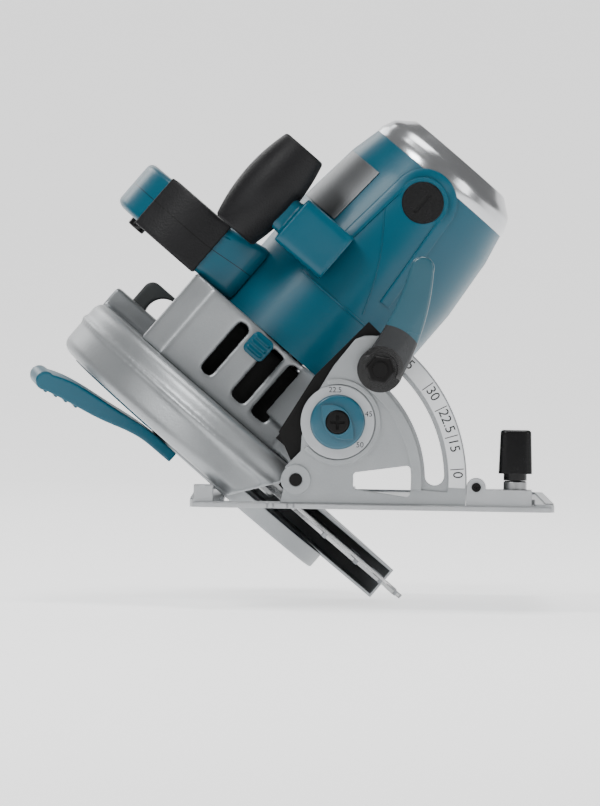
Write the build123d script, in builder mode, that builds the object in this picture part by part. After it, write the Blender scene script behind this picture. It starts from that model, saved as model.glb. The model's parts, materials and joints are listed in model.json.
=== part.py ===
"""A sidewinder circular saw for 210 mm blades, in millimetres.

The row frame stands on the sole: +Z up, -Y towards the saw's front, +X towards the motor, origin at the
middle of the sole's underside. Everything above the base tilts on the bevel axis. Those pieces are drawn on
planes of a head frame whose three coordinates are:
    u  along the motor axis, 0 in the blade's plane, growing towards the motor
    y  along the base, growing towards the rear
    h  along the blade's plane, the height above the sole when the saw stands upright
"""

import os
from math import acos, asin, atan2, cos, degrees, pi, radians, sin, sqrt, tan

from build123d import *

os.makedirs("parts", exist_ok=True)

# ---------------------------------------------------------------- driving dimensions
# Base
base_length = 300.0
base_width = 190.0
base_corner = 9.0
plate_thickness = 3.0
rim_height = 4.2
rim_width = 4.0
front_lip_height = 2.5
front_lip_depth = 4.0
side_rib_height = 6.2
side_rib_width = 2.2
side_rib_pitch = 7.0
opening_left = -80.0
opening_right = -13.0
opening_front = -140.0
opening_rear = 114.0
opening_corner = 5.0
notch_radius = 2.0

# Fit values
run_gap = 0.05
slide_gap = 0.25
face_gap = 0.3

# Bevel axis and rest tilt
bevel_x = -40.0
bevel_z = 15.0
bevel_rest = 50.0
bevel_pin_radius = 3.3
blade_offset = 13.0

# Blade and spindle
blade_radius = 105.0
blade_body = 1.8
blade_kerf = 2.4
blade_teeth = 24
blade_bore_radius = 15.0
gullet_depth = 9.0
arbor_y = -10.0
arbor_h = 35.0
spindle_radius = 8.0
flange_radius = 21.0
inner_flange_end = 4.2
outer_flange_thickness = 4.6
blade_bolt_radius = 4.0
blade_bolt_flats = 13.0
blade_bolt_head = 5.2

# Gears
gear_module = 1.0
pinion_teeth = 10
gear_teeth = 47
gear_start = 27.0
gear_width = 11.0
gear_backlash = 0.24
motor_y = -25.0

# Upper guard
guard_radius = 120.0
guard_wall = 3.0
guard_outer = -17.0
guard_inner = 15.0
guard_rim_fillet = 6.0
guard_window_radius = 61.0
guard_cut_outer_h = 36.0
guard_cut_inner_h = 14.0
chute_outer = 25.5
chute_top = 153.0

# Lower guard
lower_radius = 112.5
lower_wall = 1.5
lower_outer = -12.2
lower_inner = 7.2
hub_disc_radius = 58.0
hub_disc_face = -19.7
hub_opening_radius = 27.0
hub_ring_radius = 32.0
lower_rest_lead = 303.0
lower_span = 177.0

# Gear housing
housing_start = guard_inner
housing_end = 60.0
housing_front = -72.0
housing_top = 125.0
housing_rear = 31.0
housing_bottom = 8.0
housing_wall = 4.0
retainer_face = 4.9
retainer_radius = 24.0

# Motor
motor_end = 180.0
motor_radius = 50.0
motor_end_radius = 43.0
motor_straight_end = 130.0
motor_wall = 3.0
cap_end = 197.0
cap_flat_radius = 31.0
shaft_radius = 5.0
stator_bore = 28.0
stator_start = 85.0
stator_end = 130.0
core_radius = 26.8
commutator_radius = 13.0
commutator_start = 158.0
commutator_end = 176.0
brush_u = 166.0
brush_cap_radius = 11.0

# Depth pivot and guide
depth_y = -112.0
depth_h = 22.0
depth_pin_radius = 4.0
depth_travel = 35.0
guide_radius = 136.0
guide_band = 16.0
guide_slot = 7.0
guide_start = 44.0
guide_thickness = 4.0
guide_bolt_angle = 4.0
depth_bolt_radius = 3.2

# Front quadrant, bevel bracket and clamp
quadrant_front = -146.0
quadrant_thickness = 6.0
quadrant_radius = 89.0
scale_inner = 79.0
clamp_radius = 72.3
clamp_slot = 10.0
clamp_angle = 3.5
clamp_bolt_radius = 4.0
bracket_front = -139.6
bracket_thickness = 5.6
dial_dx = 21.3
dial_dz = 30.4
dial_radius = 14.0
dial_ring_radius = 22.4
dial_ring_width = 2.6
dial_ring_low = -140.0
dial_ring_high = 104.0

# Rear bevel pivot
rear_plate_front = 128.0
rear_plate_thickness = 6.0

# Fence
fence_x = 74.4
fence_y = -134.0
fence_boss_top = 11.4
fence_slot_depth = 20.0
fence_slot_height = 4.8
fence_slot_bottom = 3.4

# Shaft lock
lock_u = 52.0
lock_h = 75.0
lock_travel = 4.0
lock_pin_radius = 3.0

# Handles
handle_u = 77.0
handle_width = 34.0
handle_shell = 3.0
grip_skin = 1.6
knob_y = -75.0
knob_h = 125.0
knob_start = 90.0
knob_end = 147.0
knob_radius = 16.5

# ---------------------------------------------------------------- worked-out values
tilt = radians(bevel_rest)
motor_dir = Vector(cos(tilt), 0, sin(tilt))
blade_up = Vector(-sin(tilt), 0, cos(tilt))
head_origin = Vector(bevel_x, 0, bevel_z) - motor_dir * blade_offset - blade_up * bevel_z
centre_distance = gear_module * (pinion_teeth + gear_teeth) / 2
motor_h = arbor_h + sqrt(centre_distance**2 - (arbor_y - motor_y) ** 2)
motor_bore = motor_radius - motor_wall
wide = 400.0


def head_point(u, y, h):
    """The row-frame point at head coordinates u, y, h."""
    return head_origin + motor_dir * u + Vector(0, y, 0) + blade_up * h


def across(u):
    """A plane square to the motor axis: sketches are in y, h and grow towards the motor."""
    return Plane(origin=head_point(u, 0, 0), x_dir=(0, 1, 0), z_dir=motor_dir)


def facing(y):
    """A plane square to Y: sketches are in u, h and grow towards the front."""
    return Plane(origin=head_point(0, y, 0), x_dir=motor_dir, z_dir=(0, -1, 0))


def level(h):
    """A plane square to the blade's height: sketches are in u, y and grow upwards."""
    return Plane(origin=head_point(0, 0, h), x_dir=motor_dir, z_dir=blade_up)


def front(y):
    """An upright plane of the base: sketches are in x, z and grow towards the front."""
    return Plane.XZ.offset(-y)


def polar(radius, angle, centre=(0.0, 0.0)):
    """The point at this radius and angle in degrees about a centre."""
    return (centre[0] + radius * cos(radians(angle)), centre[1] + radius * sin(radians(angle)))


def ringed(points, centre):
    """Polar points (radius, angle) about a centre, as a closed run for Polyline."""
    placed = [polar(radius, angle, centre) for radius, angle in points]
    return placed + placed[:1]


def gear_outline(teeth, root, tip, turn, centre):
    """Straight-flanked teeth whose flanks follow the involute at root, pitch and tip."""
    pitch = gear_module * teeth / 2
    base = pitch * cos(radians(20.0))
    half = pi / (2 * teeth) - gear_backlash / (4 * pitch)

    def flank(radius):
        reach = max(radius, base)
        return half + involute(pitch, base) - involute(reach, base)

    points = []
    for tooth in range(teeth):
        middle = turn + 360.0 * tooth / teeth
        for radius, side in ((root, -1), (pitch, -1), (tip, -1), (tip, 1), (pitch, 1), (root, 1)):
            points.append((radius, middle + side * degrees(flank(radius))))
    return ringed(points, centre)


def involute(radius, base):
    """The involute function of the pressure angle where a flank crosses this radius."""
    angle = acos(min(1.0, base / radius))
    return tan(angle) - angle


def band(inner, outer, start, end, centre=(0.0, 0.0)):
    """Draw the outline of part of a ring between two angles, counter-clockwise."""
    middle = (start + end) / 2
    a, b, c = (polar(outer, angle, centre) for angle in (start, middle, end))
    d, e, f = (polar(inner, angle, centre) for angle in (end, middle, start))
    ThreePointArc(a, b, c)
    Line(c, d)
    ThreePointArc(d, e, f)
    Line(f, a)


def brush_plane(side):
    """A plane through the brushes, facing the side given as 1 or -1 along Y."""
    return Plane(origin=head_point(brush_u, motor_y, motor_h), x_dir=motor_dir, z_dir=(0, side, 0))


def write(builder, name):
    """Label a finished piece and write its file."""
    builder.part.label = name
    export_step(builder.part, f"parts/{name}.step")


arbor = (arbor_y, arbor_h)
motor_axis_at = (motor_y, motor_h)
depth_at = (depth_y, depth_h)
bevel_at = (bevel_x, bevel_z)
bevel_head = (blade_offset, bevel_z)
clamp_head = polar(clamp_radius, clamp_angle, bevel_head)
clamp_row = polar(clamp_radius, clamp_angle + bevel_rest, bevel_at)
depth_bolt_at = polar(guide_radius, guide_bolt_angle, depth_at)
dial_at = (bevel_x + dial_dx, bevel_z + dial_dz)
motor_line = Axis(head_point(0, motor_y, motor_h), motor_dir)

# ---------------------------------------------------------------- base plate
# A cast plate with a raised rim, two ribs down the motor side, a rib along the front and a fence guide at
# each side of the front. The long opening lets both guards and the blade through at every bevel.
half_width = base_width / 2
half_length = base_length / 2
opening_size = (opening_right - opening_left, opening_rear - opening_front)
opening_middle = ((opening_right + opening_left) / 2, (opening_rear + opening_front) / 2)
boss_left = 52.0
boss_right = 83.0
guide_left = -93.0
guide_width = 10.0
lug_x = 54.0
lug_z = 12.5
lug_radius = 5.0
screw_shank = 1.5

with BuildPart() as base_plate:
    with BuildSketch(Plane.XY):
        RectangleRounded(base_width, base_length, base_corner)
    extrude(amount=plate_thickness)
    with BuildSketch(Plane.XY):
        RectangleRounded(base_width, base_length, base_corner)
        RectangleRounded(base_width - 2 * rim_width, base_length - 2 * rim_width, base_corner - rim_width / 2,
                         mode=Mode.SUBTRACT)
    extrude(amount=rim_height)
    with BuildSketch(Plane.XY):
        for step in range(2):
            with Locations((half_width - rim_width - side_rib_pitch * (step + 1), 0)):
                Rectangle(side_rib_width, base_length - 4 * rim_width)
        with Locations((opening_right + rim_width, 0)):
            Rectangle(side_rib_width, base_length - 12 * rim_width)
    extrude(amount=side_rib_height)
    with BuildSketch(Plane.XY):
        with Locations(opening_middle):
            RectangleRounded(*opening_size, opening_corner)
            RectangleRounded(opening_size[0] - 2, opening_size[1] - 2, opening_corner - 1, mode=Mode.SUBTRACT)
    extrude(amount=rim_height)
    with BuildSketch(Plane.XY):
        with Locations(((boss_left + boss_right) / 2, fence_y)):
            Rectangle(boss_right - boss_left, fence_slot_depth + 6)
        with Locations((guide_left + guide_width / 2, fence_y)):
            Rectangle(guide_width, fence_slot_depth + 6)
    extrude(amount=fence_boss_top)
    with BuildSketch(front(quadrant_front + quadrant_thickness)):
        with Locations((lug_x, lug_z)):
            Circle(lug_radius)
        with Locations((lug_x, (lug_z + plate_thickness) / 2 - 1)):
            Rectangle(2 * lug_radius, lug_z - plate_thickness + 2)
    extrude(amount=quadrant_thickness)
    with BuildSketch(Plane.XY.offset(fence_slot_bottom)):
        with Locations((0, fence_y)):
            Rectangle(wide, fence_slot_depth)
    extrude(amount=fence_slot_height, mode=Mode.SUBTRACT)
    with BuildSketch(Plane.XY.offset(front_lip_height)):
        with Locations((0, -half_length)):
            Rectangle(wide, 2 * front_lip_depth)
    extrude(amount=wide, mode=Mode.SUBTRACT)
    with BuildSketch(Plane.XY):
        with Locations(opening_middle):
            RectangleRounded(opening_size[0] - 3, opening_size[1] - 3, opening_corner - 1.5)
        for sight_x in (bevel_x - blade_offset, bevel_x - 2.5):
            with Locations((sight_x, -half_length)):
                Circle(notch_radius)
        with Locations((fence_x, fence_y)):
            Circle(3.0 + run_gap)
    extrude(amount=wide, mode=Mode.SUBTRACT)
    with BuildSketch(front(quadrant_front + quadrant_thickness)):
        with Locations((lug_x, lug_z)):
            Circle(screw_shank)
    extrude(amount=wide, mode=Mode.SUBTRACT)
write(base_plate, "base_plate")

with BuildPart() as base_screw:
    with BuildSketch(front(quadrant_front)):
        with Locations((lug_x, lug_z)):
            Circle(2.4)
    extrude(amount=1.6)
    with BuildSketch(front(quadrant_front)):
        with Locations((lug_x, lug_z)):
            Circle(screw_shank)
    extrude(amount=-quadrant_thickness)
    with BuildSketch(front(quadrant_front - 1.6)):
        with Locations((lug_x, lug_z)):
            Rectangle(3.0, 0.7)
            Rectangle(0.7, 3.0)
    extrude(amount=-0.9, mode=Mode.SUBTRACT)
write(base_screw, "base_screw")

# ---------------------------------------------------------------- front quadrant
# The upright plate that carries the bevel scale: a pivot hole at its lower left, a curved slot for the clamp
# bolt, a rib inside the slot and a raised ring round the stop dial.
quadrant_foot = plate_thickness
foot_drop = bevel_z - quadrant_foot
slot_low = clamp_angle - 1.0
slot_high = clamp_angle + bevel_rest + 1.0
arc_low = -degrees(asin(foot_drop / quadrant_radius))
top_z = 75.5
arc_high = degrees(asin(top_z / quadrant_radius))
rib_inner = 60.0
rib_outer = 65.5
face_relief = 1.4

with BuildPart() as bevel_quadrant:
    with BuildSketch(front(quadrant_front + quadrant_thickness)):
        with BuildLine():
            left = Polyline(
                *[(bevel_x + dx, bevel_z + dz) for dx, dz in (
                    (-8.0, -foot_drop), (-6.7, -6.5), (-5.6, 6.7), (2.4, 15.0), (2.7, 22.7), (7.8, 40.8),
                    (18.8, 59.6), (29.9, 73.6), (34.8, top_z))],
                polar(quadrant_radius, arc_high, bevel_at),
            )
            rim = ThreePointArc(left @ 1, polar(quadrant_radius, (arc_low + arc_high) / 2, bevel_at),
                                polar(quadrant_radius, arc_low, bevel_at))
            Line(rim @ 1, left @ 0)
        make_face()
    extrude(amount=quadrant_thickness)
    with BuildSketch(front(quadrant_front)):
        with BuildLine():
            band(rib_outer, scale_inner, arc_low + 4, slot_high + 7, bevel_at)
        make_face()
    extrude(amount=-face_relief, mode=Mode.SUBTRACT)
    with BuildSketch(front(quadrant_front)):
        with BuildLine():
            band(30.0, rib_inner, -8.0, 8.0, bevel_at)
        make_face()
        fillet(vertices(), 2.0)
    extrude(amount=-quadrant_thickness, mode=Mode.SUBTRACT)
    with BuildSketch(front(quadrant_front)):
        with BuildLine():
            band(dial_ring_radius - dial_ring_width, dial_ring_radius, dial_ring_low, dial_ring_high, dial_at)
        make_face()
        with BuildLine():
            band(rib_inner, rib_outer, arc_low + 4, arc_high - 4, bevel_at)
        make_face()
        with Locations(bevel_at):
            Circle(bevel_pin_radius + 4.5)
    extrude(amount=1.6)
    with BuildSketch(front(quadrant_front - quadrant_thickness)):
        with BuildLine():
            band(clamp_radius - clamp_slot / 2, clamp_radius + clamp_slot / 2, slot_low, slot_high, bevel_at)
        make_face()
        with Locations(polar(clamp_radius, slot_low, bevel_at), polar(clamp_radius, slot_high, bevel_at)):
            Circle(clamp_slot / 2)
        with Locations(bevel_at):
            Circle(bevel_pin_radius + run_gap)
        with Locations(dial_at):
            Circle(2.5 + run_gap)
    extrude(amount=-wide, mode=Mode.SUBTRACT)
write(bevel_quadrant, "bevel_quadrant")

with BuildPart() as scale_plate:
    with BuildSketch(front(quadrant_front)):
        with BuildLine():
            band(scale_inner + 0.6, quadrant_radius - 0.8, -2.0, arc_high - 1.0, bevel_at)
        make_face()
    extrude(amount=0.8)
write(scale_plate, "scale_plate")

bracket_rear = bracket_front + bracket_thickness
with BuildPart() as bevel_pin_front:
    with BuildSketch(front(bracket_rear)):
        with Locations(bevel_at):
            Circle(bevel_pin_radius)
    extrude(amount=bracket_rear - quadrant_front + 2.4)
write(bevel_pin_front, "bevel_pin_front")

dial_back = quadrant_front - face_gap
with BuildPart() as stop_dial:
    with BuildSketch(front(dial_back)):
        with Locations(dial_at):
            Circle(dial_ring_radius - 3.2)
    extrude(amount=1.2)
    with BuildSketch(front(dial_back - 1.2)):
        with Locations(dial_at):
            Circle(dial_radius)
    extrude(amount=3.4)
    fillet(faces().sort_by(Axis.Y)[0].edges(), 1.0)
    with BuildSketch(front(dial_back - 4.6)):
        with BuildLine():
            tail = polar(dial_radius - 2, 135, dial_at)
            head = polar(dial_radius - 2, -45, dial_at)
            wave_up = polar(8.0, 80, dial_at)
            wave_down = polar(8.0, 260, dial_at)
            ridge = Spline(tail, wave_up, head)
            back = Spline(head, wave_down, tail)
        make_face()
    extrude(amount=2.0)
    with BuildSketch(front(dial_back - 8.0)):
        with Locations(dial_at):
            Circle(2.5 + 2 * run_gap)
    extrude(amount=-wide, mode=Mode.SUBTRACT)
    with BuildSketch(front(dial_back - 8.0)):
        with Locations(dial_at):
            Circle(6.4)
    extrude(amount=-4.6, mode=Mode.SUBTRACT)
write(stop_dial, "stop_dial")

with BuildPart() as dial_screw:
    with BuildSketch(front(dial_back - 3.6)):
        with Locations(dial_at):
            Circle(6.1)
    extrude(amount=3.0)
    fillet(faces().sort_by(Axis.Y)[0].edges(), 0.8)
    with BuildSketch(front(dial_back - 3.6)):
        with Locations(dial_at):
            Circle(2.5)
    extrude(amount=-(abs(dial_back - 3.6 - quadrant_front) + quadrant_thickness - 0.5))
    with BuildSketch(front(dial_back - 6.6)):
        with Locations(dial_at):
            Rectangle(7.5, 1.5)
            Rectangle(1.5, 7.5)
    extrude(amount=-1.6, mode=Mode.SUBTRACT)
write(dial_screw, "dial_screw")

# ---------------------------------------------------------------- fence clamp
collar_radius = 6.1
collar_top = 16.0
knob_neck_top = 19.8
fence_knob_top = 42.6
fence_knob_width = 17.5
stud_radius = 3.0
with BuildPart() as fence_collar:
    with BuildSketch(Plane.XY.offset(fence_boss_top)):
        with Locations((fence_x, fence_y)):
            Circle(collar_radius)
            Circle(stud_radius + run_gap, mode=Mode.SUBTRACT)
    extrude(amount=collar_top - fence_boss_top)
    chamfer(faces().sort_by(Axis.Z)[-1].edges(), 0.6)
write(fence_collar, "fence_collar")

with BuildPart() as fence_knob:
    with BuildSketch(Plane.XY.offset(fence_slot_bottom + fence_slot_height)):
        with Locations((fence_x, fence_y)):
            Circle(stud_radius)
    extrude(amount=knob_neck_top - fence_slot_bottom - fence_slot_height)
    with BuildSketch(Plane.XY.offset(collar_top + slide_gap)):
        with Locations((fence_x, fence_y)):
            Circle(collar_radius)
    extrude(amount=knob_neck_top - collar_top)
    with BuildSketch(Plane.XY.offset(knob_neck_top)):
        with Locations((fence_x, fence_y)):
            RectangleRounded(fence_knob_width, fence_knob_width, 4.2)
    extrude(amount=fence_knob_top - knob_neck_top, taper=2.0)
    fillet(faces().sort_by(Axis.Z)[-1].edges(), 1.6)
write(fence_knob, "fence_knob")

# ---------------------------------------------------------------- rear bevel pivot on the base
rear_pin_radius = 4.0
with BuildPart() as rear_pivot_bracket:
    with BuildSketch(Plane.XZ.offset(-rear_plate_front - rear_plate_thickness)):
        with BuildLine():
            foot = Line((bevel_x - 24, plate_thickness), (bevel_x + 24, plate_thickness))
            up = Line(foot @ 1, (bevel_x + 11, bevel_z))
            over = ThreePointArc(up @ 1, (bevel_x, bevel_z + 11), (bevel_x - 11, bevel_z))
            Line(over @ 1, foot @ 0)
        make_face()
        with Locations(bevel_at):
            Circle(rear_pin_radius + run_gap, mode=Mode.SUBTRACT)
    extrude(amount=rear_plate_thickness)
    with BuildSketch(Plane.XY.offset(plate_thickness)):
        with Locations((bevel_x, rear_plate_front + rear_plate_thickness + 4)):
            Rectangle(48, 8)
    extrude(amount=3.0)
write(rear_pivot_bracket, "rear_pivot_bracket")

arm_thickness = 6.0
arm_rear = rear_plate_front - face_gap
with BuildPart() as rear_pivot_pin:
    with BuildSketch(Plane.XZ.offset(-rear_plate_front - rear_plate_thickness - 3)):
        with Locations(bevel_at):
            Circle(rear_pin_radius + 2.5)
    extrude(amount=3.0)
    with BuildSketch(Plane.XZ.offset(-rear_plate_front - rear_plate_thickness)):
        with Locations(bevel_at):
            Circle(rear_pin_radius)
    extrude(amount=rear_plate_thickness + face_gap + arm_thickness)
write(rear_pivot_pin, "rear_pivot_pin")

# ---------------------------------------------------------------- bevel frame
# The front bracket turns on the quadrant's pin, carries the clamp bolt in its far corner, and reaches back
# with two ears for the depth pivot. The rear arm turns on the rear pin and carries the depth guide.
ear_low = depth_h - 9.0
ear_high = depth_h + 9.0
ear_starts = (22.4, 62.0)
ear_width = 5.0
lug_start = 28.0
with BuildPart() as bevel_bracket:
    with BuildSketch(facing(bracket_rear)):
        with BuildLine():
            outline = Polyline(
                (4, 9), (5, 20), (17, 20), (26, 38), (60, 43), (100, 40), (clamp_head[0] + 14, 26),
                (clamp_head[0] + 14, 10), (clamp_head[0], 8), (40, 8), (14, 6), (4, 9))
        make_face()
        with Locations(bevel_head):
            Circle(bevel_pin_radius + run_gap, mode=Mode.SUBTRACT)
        with Locations(clamp_head):
            Circle(clamp_bolt_radius, mode=Mode.SUBTRACT)
    extrude(amount=bracket_thickness)
    for ear_u in ear_starts:
        with BuildSketch(across(ear_u)):
            with BuildLine():
                ear = Polyline((bracket_rear, ear_high + 6), (bracket_rear, ear_low), (depth_y, ear_low))
                nose = ThreePointArc(ear @ 1, (depth_y + 9, depth_h), (depth_y, ear_high))
                Line(nose @ 1, ear @ 0)
            make_face()
            with Locations(depth_at):
                Circle(depth_pin_radius, mode=Mode.SUBTRACT)
        extrude(amount=ear_width)
write(bevel_bracket, "bevel_bracket")

with BuildPart() as depth_pin:
    with BuildSketch(across(ear_starts[0] - 1.5)):
        with Locations(depth_at):
            Circle(depth_pin_radius)
    extrude(amount=ear_starts[1] + ear_width + 1.5 - ear_starts[0] + 1.5)
write(depth_pin, "depth_pin")

washer_thickness = 1.2
lever_back = quadrant_front - 1.6 - washer_thickness
with BuildPart() as clamp_bolt:
    with BuildSketch(facing(bracket_rear + 4.0)):
        with Locations(clamp_head):
            RegularPolygon(7.0, 6)
    extrude(amount=4.0)
    with BuildSketch(facing(bracket_rear)):
        with Locations(clamp_head):
            Circle(clamp_bolt_radius)
    extrude(amount=bracket_rear - lever_back + 14.5)
write(clamp_bolt, "clamp_bolt")

lever_hub_radius = 12.0
lever_thickness = 6.5
lever_front = lever_back - lever_thickness
with BuildPart() as bevel_lever:
    with BuildSketch(front(lever_back - face_gap)):
        with Locations(clamp_row):
            Circle(lever_hub_radius)
    extrude(amount=lever_thickness)
    with BuildSketch(front(lever_back - 1.5)):
        with BuildLine():
            cx, cz = clamp_row
            inner_edge = Spline((cx - 8, cz + 7), (cx + 4, cz + 26), (cx + 15, cz + 54))
            tip_arc = ThreePointArc(inner_edge @ 1, (cx + 22, cz + 59), (cx + 27, cz + 51))
            outer_edge = Spline(tip_arc @ 1, (cx + 22, cz + 22), (cx + 10, cz - 6))
            Line(outer_edge @ 1, inner_edge @ 0)
        make_face()
    extrude(amount=8.0)
    fillet(faces().sort_by(Axis.Y)[0].edges(), 1.5)
    with BuildSketch(front(lever_back - 15)):
        with Locations(clamp_row):
            Circle(clamp_bolt_radius + run_gap)
    extrude(amount=-wide, mode=Mode.SUBTRACT)
    with BuildSketch(front(lever_front - face_gap)):
        with Locations(clamp_row):
            Circle(9.0)
    extrude(amount=wide, mode=Mode.SUBTRACT)
write(bevel_lever, "bevel_lever")

nut_back = lever_front - 2 * face_gap
with BuildPart() as clamp_hardware:
    with BuildSketch(facing(quadrant_front + face_relief - 0.1)):
        with Locations(clamp_head):
            Circle(6.2)
            Circle(clamp_bolt_radius, mode=Mode.SUBTRACT)
    extrude(amount=quadrant_front + face_relief - 0.1 - lever_back)
    with BuildSketch(facing(nut_back)):
        with Locations(clamp_head):
            RegularPolygon(6.6, 6, major_radius=False)
            Circle(clamp_bolt_radius, mode=Mode.SUBTRACT)
    extrude(amount=5.5)
    chamfer(faces().sort_by(Axis.Y)[0].edges().filter_by(GeomType.LINE), 0.6)
write(clamp_hardware, "clamp_hardware")

guide_inner = guide_radius - guide_band / 2
guide_outer = guide_radius + guide_band / 2
guide_end = guide_start + guide_thickness
guide_low = -5.0
guide_high = guide_bolt_angle + depth_travel + 4.5
strap_low = 9.0
strap_high = 20.0
arm_front = arm_rear - arm_thickness
with BuildPart() as depth_guide:
    with BuildSketch(across(guide_start)):
        with BuildLine():
            band(guide_inner, guide_outer, guide_low, guide_high, depth_at)
        make_face()
        with BuildLine():
            Polyline((depth_y + guide_inner, strap_low), (arm_front, strap_low), (arm_front, strap_high),
                     (depth_y + guide_outer - 2, strap_high + 4), (depth_y + guide_inner, strap_high),
                     (depth_y + guide_inner, strap_low))
        make_face()
    extrude(amount=guide_thickness)
    with BuildSketch(across(guide_start)):
        with BuildLine():
            band(guide_radius - guide_slot / 2, guide_radius + guide_slot / 2, guide_bolt_angle,
                 guide_bolt_angle + depth_travel, depth_at)
        make_face()
        with Locations(depth_bolt_at, polar(guide_radius, guide_bolt_angle + depth_travel, depth_at)):
            Circle(guide_slot / 2)
    extrude(amount=guide_thickness, mode=Mode.SUBTRACT)
write(depth_guide, "depth_guide")

with BuildPart() as rear_bevel_arm:
    with BuildSketch(facing(arm_rear)):
        with BuildLine():
            Polyline((4, 10), (guide_end + 6, 8), (guide_end + 6, strap_high + 2), (24, 28), (6, 26), (4, 10))
        make_face()
        with Locations(bevel_head):
            Circle(rear_pin_radius + run_gap, mode=Mode.SUBTRACT)
    extrude(amount=arm_thickness)
write(rear_bevel_arm, "rear_bevel_arm")

# ---------------------------------------------------------------- upper guard
# A cast half-drum open at the bottom. Its outer face has a round window for the lower guard's hub, its inner
# face seats on the gear housing, and a chute at the rear leads to the dust nozzle.
cavity_radius = guard_radius - guard_wall
cut_slope = (guard_cut_inner_h - guard_cut_outer_h) / (guard_inner - guard_outer)
chute_front = 12.0
chute_rear = 52.0
chute_low = 100.0
ridge_height = 1.2
with BuildPart() as upper_guard:
    with BuildSketch(across(guard_outer)):
        with Locations(arbor):
            Circle(guard_radius)
    extrude(amount=guard_inner - guard_outer)
    fillet(edges().filter_by(GeomType.CIRCLE), guard_rim_fillet)
    with BuildSketch(across(1.0)):
        with Locations(arbor):
            Circle(guard_radius + ridge_height)
    extrude(amount=2.4)
    with BuildSketch(facing(chute_rear)):
        with BuildLine():
            Polyline((guard_inner - guard_wall, chute_low), (chute_outer, chute_low),
                     (chute_outer, chute_top),
                     (0, chute_top), (guard_inner - guard_wall, chute_low))
        make_face()
        fillet(vertices().sort_by(Axis(head_point(0, 0, 0), motor_dir + blade_up))[-1], 6)
    extrude(amount=chute_rear - chute_front)
    with BuildSketch(across(guard_outer + guard_wall)):
        with Locations(arbor):
            Circle(cavity_radius)
    extrude(amount=guard_inner - guard_outer - 2 * guard_wall, mode=Mode.SUBTRACT)
    with BuildSketch(facing(-wide / 2)):
        with BuildLine():
            Polyline((guard_outer - 8, guard_cut_outer_h - 8 * cut_slope),
                     (chute_outer + 4, guard_cut_inner_h + (chute_outer + 4 - guard_inner) * cut_slope),
                     (chute_outer + 4, -wide / 2), (guard_outer - 8, -wide / 2),
                     (guard_outer - 8, guard_cut_outer_h - 8 * cut_slope))
        make_face()
    extrude(amount=-wide, mode=Mode.SUBTRACT)
    with BuildSketch(across(guard_outer)):
        with Locations(arbor):
            Circle(guard_window_radius)
    extrude(amount=guard_wall, mode=Mode.SUBTRACT)
    with BuildSketch(across(guard_inner - guard_wall)):
        with Locations(arbor):
            Circle(retainer_radius + 0.1)
    extrude(amount=guard_wall, mode=Mode.SUBTRACT)
    with BuildSketch(level(chute_low + 5)):
        with Locations((guard_inner + 3.0, (chute_front + chute_rear) / 2 + 4)):
            Rectangle(chute_outer - guard_inner + 2.0, chute_rear - chute_front)
    extrude(amount=chute_top - chute_low - 9, mode=Mode.SUBTRACT)
write(upper_guard, "upper_guard")

badge_thickness = 0.9
with BuildPart() as guard_badge:
    with BuildSketch(across(guard_outer - badge_thickness)):
        with BuildLine():
            outer_sweep = ThreePointArc(polar(108, 148, arbor), polar(110, 118, arbor), polar(108, 84, arbor))
            inner_sweep = ThreePointArc(polar(96, 88, arbor), polar(84, 118, arbor), polar(96, 146, arbor))
            Line(outer_sweep @ 1, inner_sweep @ 0)
            Line(inner_sweep @ 1, outer_sweep @ 0)
        make_face()
        fillet(vertices(), 3.0)
    extrude(amount=badge_thickness)
write(guard_badge, "guard_badge")

nozzle_high = 143.0
nozzle_low = 105.0
nozzle_inner = guard_inner + 1.0
nozzle_outer = 40.5
nozzle_length = 32.0
nozzle_bore = 10.5
nozzle_at = ((nozzle_inner + nozzle_outer) / 2, (nozzle_low + nozzle_high) / 2)
with BuildPart() as dust_nozzle:
    with BuildSketch(facing(chute_rear)):
        with Locations(nozzle_at):
            RectangleRounded(nozzle_outer - nozzle_inner, nozzle_high - nozzle_low, 5)
            Circle(nozzle_bore, mode=Mode.SUBTRACT)
    extrude(amount=-nozzle_length)
write(dust_nozzle, "dust_nozzle")

# ---------------------------------------------------------------- blade and spindle
# The blade seats on the inner flange's spigot and is clamped by the outer flange and a hex bolt.
tooth_pitch = 360.0 / blade_teeth
tooth_root = blade_radius - gullet_depth
tip_height = 7.5
tip_depth = 2.6
tip_rake = 1.1
seat_open = 0.5
tip_angle = degrees(tip_depth / blade_radius)
spigot_length = blade_body - 0.3
inner_face = blade_body / 2
outer_face = -blade_body / 2 - outer_flange_thickness
with BuildPart() as blade:
    with BuildSketch(across(-blade_body / 2)):
        with Locations(arbor):
            Circle(blade_radius - 0.6)
            Circle(blade_bore_radius + run_gap, mode=Mode.SUBTRACT)
        for tooth in range(blade_teeth):
            start = tooth * tooth_pitch
            with BuildLine():
                Polyline(*ringed(((blade_radius + 2, start - 0.2),
                                  (blade_radius - tip_height, start + tip_rake),
                                  (tooth_root, start + 3.2), (tooth_root + 2.4, start + 6.2),
                                  (blade_radius - 1.4, start + tooth_pitch - tip_angle - 1.6),
                                  (blade_radius - 0.9, start + tooth_pitch - tip_angle - 0.2),
                                  (blade_radius + 2, start + tooth_pitch - tip_angle - 0.2)), arbor))
            make_face(mode=Mode.SUBTRACT)
            with BuildLine():
                Polyline(*ringed(((blade_radius, start + seat_open),
                                  (blade_radius - tip_height, start + tip_rake + seat_open),
                                  (blade_radius - tip_height, start + tip_rake),
                                  (blade_radius - tip_height, start + tip_rake - tip_angle),
                                  (blade_radius - 0.7, start - 0.18 - tip_angle),
                                  (blade_radius, start - 0.18)), arbor))
            make_face(mode=Mode.SUBTRACT)
        for slot in range(4):
            with BuildLine():
                band(62.0, 63.4, 90.0 * slot + 20, 90.0 * slot + 58, arbor)
            make_face(mode=Mode.SUBTRACT)
    extrude(amount=blade_body)
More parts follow.
